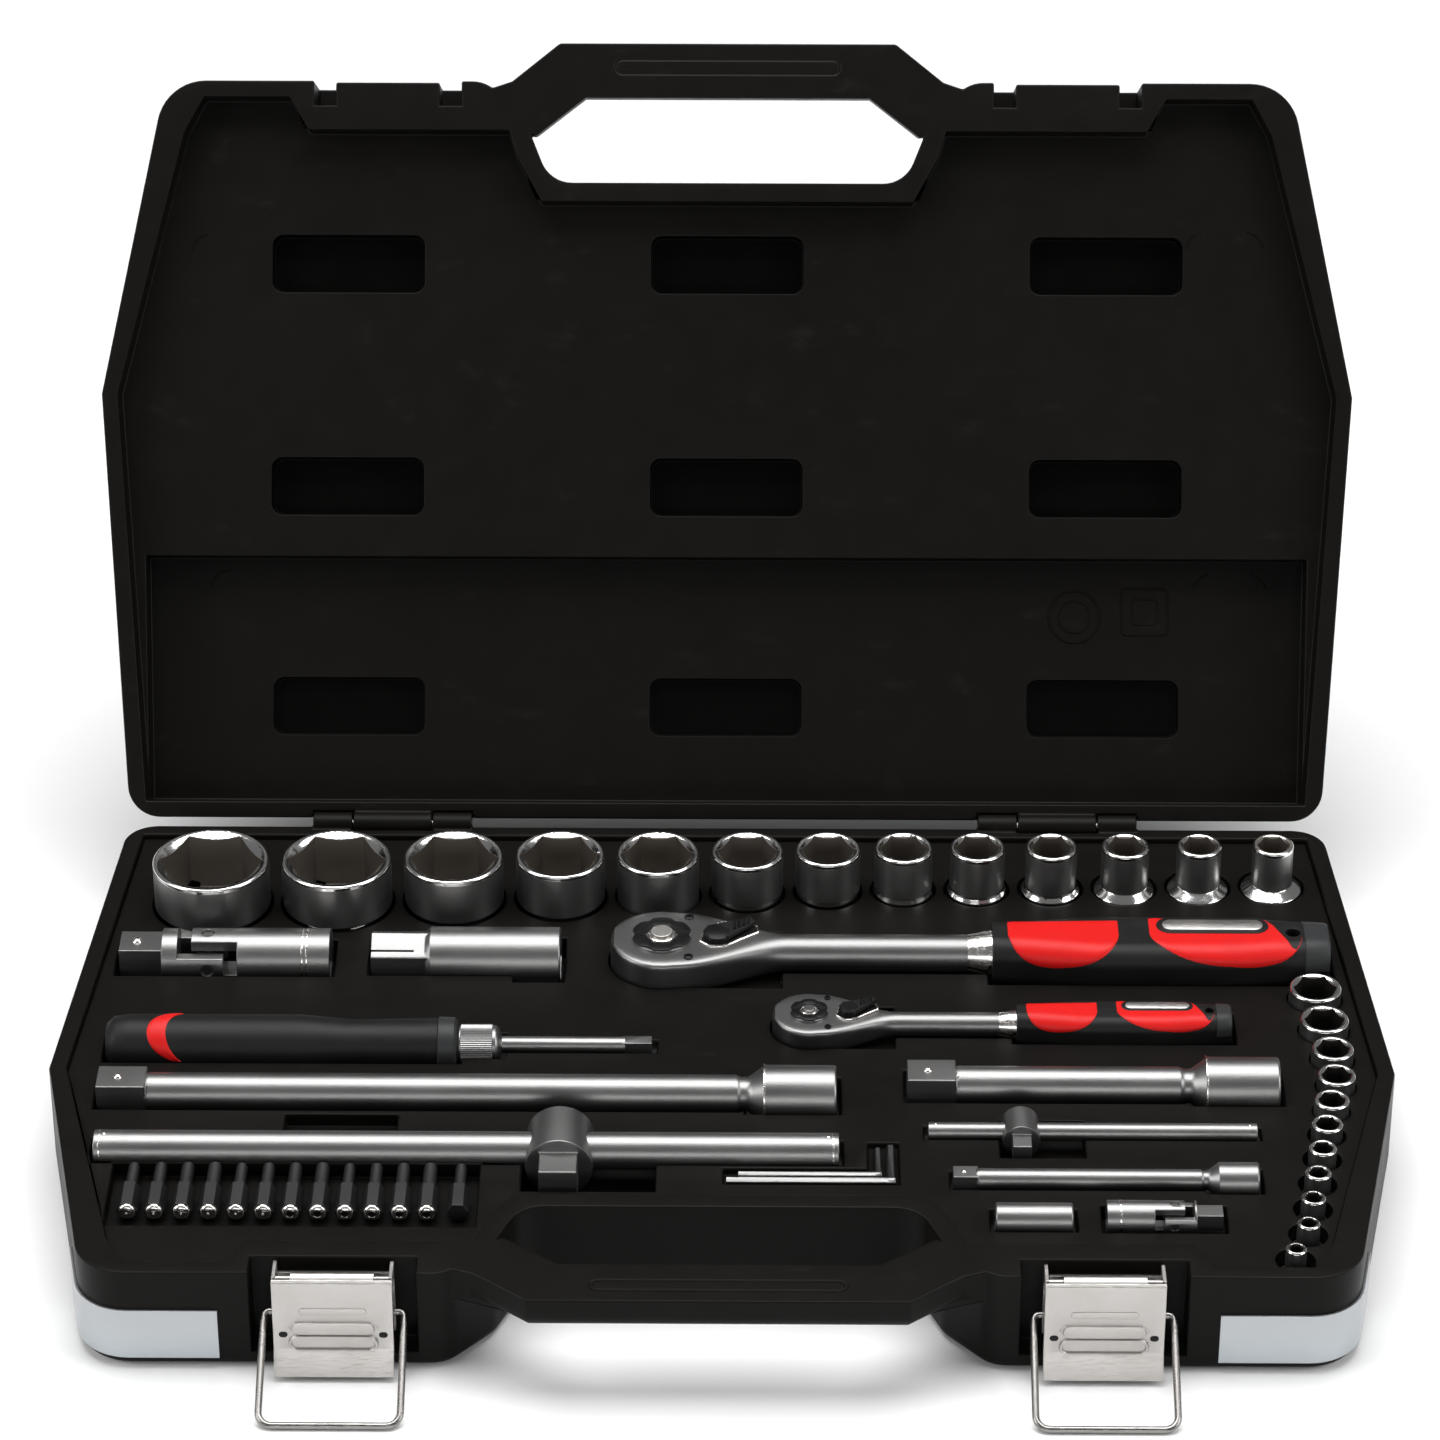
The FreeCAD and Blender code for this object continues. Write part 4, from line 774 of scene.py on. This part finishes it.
for name, sizes in ratchets.items():
    for part in (ratchetHead, ratchetScrews, leverBed, ratchetDial, leverHub, gripInlays, gripPlate, gripCap):
        part(name, sizes)
print("ratchets dressed")


spinner = {"start": -211, "y": -3, "z": 36.5, "radius": 10, "grip": 121}


def spinnerSpot(x, degrees, lift):
    # a point over the round grip, in degrees from its crest towards the front
    a = math.radians(degrees)
    reach = spinner["radius"] + lift
    return (x, spinner["y"] - reach * math.sin(a), spinner["z"] + reach * math.cos(a))


def spinnerCrescent():
    # inlay that opens towards the shaft
    start = spinner["start"] + 27
    work = bmesh.new()
    rows = []
    for i in range(25):
        t = i / 24 * 2 - 1
        bend = 1 - t * t
        low, high = start - 13 * bend ** 0.6, start - 5.6 * bend
        row = []
        for j in range(7):
            lift = 0.28 if 0 < j < 6 and abs(t) < 0.999 else -0.2
            row.append(spinnerSpot(low + (high - low) * j / 6, 32 + 66 * t, lift))
        rows.append(row)
    skin(work, rows)
    finished(work, "spinnerCrescent", "spinner_handle", redRubber)


def spinnerRings():
    # grey ring at the end of the grip, then the knurled ferrule
    y, z = spinner["y"], spinner["z"]
    end = spinner["start"] + spinner["grip"]
    work = bmesh.new()
    turned(work, [(end - 7.5, 8.4), (end - 6.9, 9.5), (end - 1.6, 9.3), (end - 0.8, 8.2)], (0, y, z), "X")
    finished(work, "spinnerRing", "spinner_handle", capGrey)
    work = bmesh.new()
    rows = []
    for x, reach in ((end + 0.3, 6.2), (end + 0.6, 6.75), (end + 11.3, 6.75), (end + 11.7, 6.2)):
        row = []
        for k in range(120):
            a = 2 * math.pi * k / 120
            far = reach + 0.22 * (k % 2)
            row.append((x, y + far * math.cos(a), z + far * math.sin(a)))
        rows.append(row)
    skin(work, rows, ring=True, ends=True)
    finished(work, "spinnerFerrule", "spinner_shaft", toolSteel, sharp=20)


spinnerCrescent()
spinnerRings()


# detent balls and grooves: node, then the balls and rings as (x, y, z, size) and (x, y, z, radius)
touches = {
    "extension_half_250": {"balls": [(-204, -32, 42.7, 1.7)], "rings": [(14.6, -32, 36.5, 10.4)]},
    "extension_half_125": {"balls": [(70, -26, 42.7, 1.7)], "rings": [(164.2, -26, 36.5, 10.4)]},
    "extension_quarter_100": {"balls": [(80.6, -80, 39.6, 0.9)], "rings": []},
    "joint_half_barrel": {"balls": [], "rings": [(-146, 51, 36.5, 10.0), (-147.6, 51, 36.5, 10.0)]},
    "joint_half_fork": {"balls": [(-206, 51, 42.8, 2.0)], "rings": []},
    "joint_quarter_barrel": {"balls": [], "rings": [(131, -101, 36.5, 5.8)]},
    "tbar_half_bar": {"balls": [(-205, -65, 42.2, 1.3), (36, -65, 42.2, 1.3)],
                      "rings": [(-206.6, -65, 36.5, 6.3), (37.6, -65, 36.5, 6.3)]},
    "tbar_quarter_bar": {"balls": [(72, -53, 39.3, 0.7), (177, -53, 39.3, 0.7)], "rings": []},
}


def smallTouches(node, parts):
    work = bmesh.new()
    for x, y, z, size in parts["balls"]:
        bmesh.ops.create_uvsphere(work, u_segments=20, v_segments=12, radius=size * mm,
                                  matrix=Matrix.Translation(Vector((x, y, z - size * 0.45)) * mm))
    for x, y, z, radius in parts["rings"]:
        turned(work, [(x - 0.35, radius * 0.97), (x - 0.3, radius + 0.06), (x, radius + 0.16),
                      (x + 0.3, radius + 0.06), (x + 0.35, radius * 0.97)],
               (0, y, z), "X", steps=56)
    finished(work, node + "Touches", node, brightSteel)


for node, parts in touches.items():
    smallTouches(node, parts)


bits = {"first": -194.5, "pitch": 8.95, "count": 13, "front": -97.5, "z": 34.6}


def bitEnds():
    # polished front end of each bit; the right-hand ones are hollow, drawn with a dark plug in each hollow as
    # painted shade, and every bit has a dark band further back
    bright, dark = bmesh.new(), bmesh.new()
    for k in range(bits["count"] - 1):
        at = (bits["first"] + bits["pitch"] * k, bits["front"], bits["z"])
        hollow = k >= 6
        rim = 1.35 if hollow else 0.5
        turned(bright, [(2.2, 2.5), (0.6, 2.95), (-0.2, 2.95), (-0.75, 2.6), (-1.1, 2.0), (-1.25, rim),
                        (-0.6, rim * 0.8)], at, "Y", steps=28)
        if hollow:
            # dark plug in the hollow: painted shade
            turned(dark, [(0.2, 1.3), (-0.95, 1.3), (-1.0, 0.2)], at, "Y", steps=20)
        turned(dark, [(9.5, 2.6), (9.7, 3.0), (11.0, 3.0), (11.2, 2.6)], at, "Y", steps=24)
    finished(bright, "bitRims", "driver_bits", brightSteel)
    finished(dark, "bitHollowShadesAndBands", "driver_bits", dialBlack)


bitEnds()
print("small tools dressed")


hingeLine = Matrix.Translation((0, lidHinge["y"], lidHinge["z"]))
lidTurn = hingeLine @ Matrix.Rotation(lidHinge["open"], 4, "X") @ hingeLine.inverted()
# marks by their place across and from the hinge, then their size; the lid's two floors by their depth
lidMarks = {
    "floor": 24, "shallow": 12, "ring": (129, 75, 9.5), "square": (155, 77, 17),
    "crescents": ((-190, 208, "shallow", 100, 80), (176, 210, "shallow", 100, 70),
                  (190, 210, "shallow", 10, 70), (-184, 84, "floor", 90, 80),
                  (180, 84, "floor", 100, 70), (193, 84, "floor", 10, 70)),
}


def lidPlace(level):
    # u runs from the hinge edge to the grip; the marks stand out of the lid's floor
    return lambda x, u, up: (x, 135 - u, 38 + level - up)


pockets = {"pitch": 139.5, "wide": 56, "long": 21, "skin": 33,
           "rows": ((204, "shallow"), (122, "shallow"), (41, "floor"))}


def paintPocketShade(piece):
    # the pockets' inner faces get a darker, less shiny copy of the plastic: painted shade in the pockets
    back = lidTurn.inverted()
    mesh = piece.data
    mesh.materials.append(pocketShadePlastic)
    for face in mesh.polygons:
        spot = back @ face.center / mm
        column = round(spot.x / pockets["pitch"])
        across = abs(spot.x - column * pockets["pitch"])
        for u, section in pockets["rows"]:
            beside = across < pockets["wide"] / 2 + 0.1 and abs(column) < 2
            within = beside and abs(135 - spot.y - u) < pockets["long"] / 2 + 0.1
            if within and lidMarks[section] + 0.9 < spot.z - 38 < pockets["skin"]:
                face.material_index = 1


def arcSpots(x, y, radius, start, sweep, steps):
    # points along an arc, in degrees
    angles = [math.radians(start + sweep * k / steps) for k in range(steps + 1)]
    return [(x + radius * math.cos(a), y + radius * math.sin(a)) for a in angles]


def lidDetails():
    paintPocketShade(bpy.data.objects["case_lid_shown"])
    deep, shallow = lidPlace(lidMarks["floor"]), lidPlace(lidMarks["shallow"])
    work = bmesh.new()
    x, u, radius = lidMarks["ring"]
    ridge(work, arcSpots(x, u, radius, 0, 352.5, 47), 0.9, 0.45, deep)
    ridge(work, arcSpots(x, u, radius * 0.62, 0, 352.5, 47), 0.7, 0.35, deep)
    x, u, side = lidMarks["square"]
    ridge(work, roundSquare(x, u, side, side, 2), 0.9, 0.45, deep)
    ridge(work, roundSquare(x, u, side * 0.55, side * 0.55, 1.5), 0.7, 0.35, deep)
    # crescents left by the mould's inserts
    for x, u, section, start, sweep in lidMarks["crescents"]:
        ridge(work, arcSpots(x, u, 7, start, sweep, 12), 0.8, 0.4, lidPlace(lidMarks[section]), closed=False)
    # line along the front ledge
    for side in (-1, 1):
        ridge(work, [(side * (66 + 7 * k), 255) for k in range(14)], 0.9, 0.5, shallow, closed=False)
    finished(work, "lidMarks", "case_lid", plastic, turn=lidTurn)


latches = {"x": 124.5, "top": 35.4, "bend": 10.0, "faceTop": -137.4, "lean": 0.9}


def leverFace(side):
    # places an outline on the lever's slightly leaning front
    s = latches
    slope = s["lean"] / (s["top"] - s["bend"])
    return lambda x, z, up: (side * s["x"] + x, s["faceTop"] - slope * (s["top"] - z) - up, z)


def leverDetails(side, name):
    # pressed ovals, a faint band above them and, at their ends, two black discs that paint the shade of the
    # notches there
    face = leverFace(side)
    work = bmesh.new()
    plate(work, stadium(0, 18.4, 27, 2.35), -0.3, 1.25, face, soft=0.7)
    ridge(work, stadium(0, 12.4, 28, 2.7), 1.3, 1.0, face)
    plate(work, stadium(0, 24.6, 22, 1.3), -0.3, 0.35, face, soft=0.3)
    finished(work, name + "Ovals", name, latchNickel)
    work = bmesh.new()
    # black discs: painted shade of the two notches
    for end in (-1, 1):
        plate(work, stadium(end * 16.2, 15.6, 2.9, 1.1), -0.3, 0.14, face, soft=0.1)
    finished(work, name + "NotchShades", name, dialBlack)


bail = {"y": -131.5, "z": 20.0, "half": 22.8, "reach": 40.0, "wire": 1.2, "cheek": 17.4,
        "corner": 4.5, "elbow": 2.0}


def swept(work, path, radius, steps=14):
    # round wire along a path that stays in one plane through the x axis
    rows = []
    for i, point in enumerate(path):
        before, after = path[max(i - 1, 0)], path[min(i + 1, len(path) - 1)]
        along = (after - before).normalized()
        flatWay = Vector((0, 0, 1)) - along * along.z
        side = along.cross(flatWay).normalized() if flatWay.length > 0.05 else Vector((0, 1, 0))
        up = side.cross(along)
        rows.append([tuple(point + side * radius * math.cos(a) + up * radius * math.sin(a)) for a in
                     (2 * math.pi * k / steps for k in range(steps))])
    skin(work, rows, ring=True, ends=True)


def bailLook(side, name):
    # one bent wire: short pins in the lever's cheeks, two arms, rounded corners and the bar
    b = bail
    drop = b["z"] - b["wire"]
    out = math.sqrt(b["reach"] ** 2 - drop ** 2)
    down = Vector((0, -out, -drop)).normalized()
    pins = Vector((side * latches["x"], b["y"], b["z"]))
    half, far, corner, top = b["half"], b["reach"], b["corner"], b["elbow"]
    flatPath = [(b["cheek"], 0)]
    flatPath += arcSpots(half - top, top, top, -90, 90, 8)
    flatPath += arcSpots(half - corner, far - corner, corner, 0, 90, 8)
    flatPath += [(-x, y) for x, y in reversed(flatPath)]
    work = bmesh.new()
    swept(work, [pins + Vector((x, 0, 0)) + down * along for x, along in flatPath], b["wire"])
    finished(work, name + "Wire", name, bailWire, [name])


bailLook(-1, "latch_bail_left")
bailLook(1, "latch_bail_right")
lidDetails()
leverDetails(-1, "latch_lever_left")
leverDetails(1, "latch_lever_right")
print("case dressed")


studio = {"floorSize": 7.0, "floorTone": 0.86, "world": 0.15, "middle": (0, 0, 0.05)}


def makeFloor():
    work = bmesh.new()
    bmesh.ops.create_grid(work, x_segments=4, y_segments=4, size=studio["floorSize"] / 2)
    floor = bpy.data.objects.new("floor", meshOf(work, "floor"))
    floor.location.z = -0.0002
    bpy.context.scene.collection.objects.link(floor)
    f = Finish("floorPaper")
    soft = f.noise(6, 3.0)
    away = f.add("ShaderNodeVectorMath", {"operation": "LENGTH"}, {0: f.place}, output="Value")
    glow = f.mix(f.between(away, 0.7, 1.9), grey(0.0), grey(0.62))
    paper = f.mix(soft, grey(studio["floorTone"]), grey(studio["floorTone"] * 0.985))
    floor.data.materials.append(f.surface(Base_Color=paper, Roughness=0.75, Specular_IOR_Level=0.2,
                                          Emission_Color=glow, Emission_Strength=1.0))


def softbox(name, place, size, watts):
    lamp = bpy.data.lights.new(name, "AREA")
    lamp.shape = "RECTANGLE"
    lamp.size, lamp.size_y = size
    lamp.energy = watts
    holder = bpy.data.objects.new(name, lamp)
    holder.location = place
    holder.rotation_euler = (Vector(studio["middle"]) - Vector(place)).to_track_quat("-Z", "Y").to_euler()
    bpy.context.scene.collection.objects.link(holder)


makeFloor()
softbox("overheadSoftbox", (0.0, 0.25, 1.5), (1.7, 1.1), 34)
softbox("leftSoftbox", (-1.5, -0.5, 0.9), (0.9, 1.1), 14)
softbox("rightSoftbox", (1.5, -0.5, 0.9), (0.9, 1.1), 14)
softbox("frontFill", (0.0, -1.9, 0.45), (1.6, 0.5), 7)

world = bpy.data.worlds.new("paleRoom")
bpy.context.scene.world = world
world.use_nodes = True
backdrop = world.node_tree.nodes["Background"]
backdrop.inputs["Color"].default_value = (1, 1, 1, 1)
backdrop.inputs["Strength"].default_value = studio["world"]

shot = {"place": (0.01117, -1.47554, 1.05047), "down": 0.5405, "left": -0.008, "lens": 130, "sensor": 36}
cameraData = bpy.data.cameras.new("camera")
cameraData.lens = shot["lens"]
cameraData.sensor_width = shot["sensor"]
cameraData.clip_start = 0.05
camera = bpy.data.objects.new("camera", cameraData)
camera.location = shot["place"]
camera.rotation_euler = (math.pi / 2 - shot["down"], 0, -shot["left"])
bpy.context.scene.collection.objects.link(camera)
bpy.context.scene.camera = camera
bpy.context.scene.view_settings.view_transform = "Standard"
print("studio set")
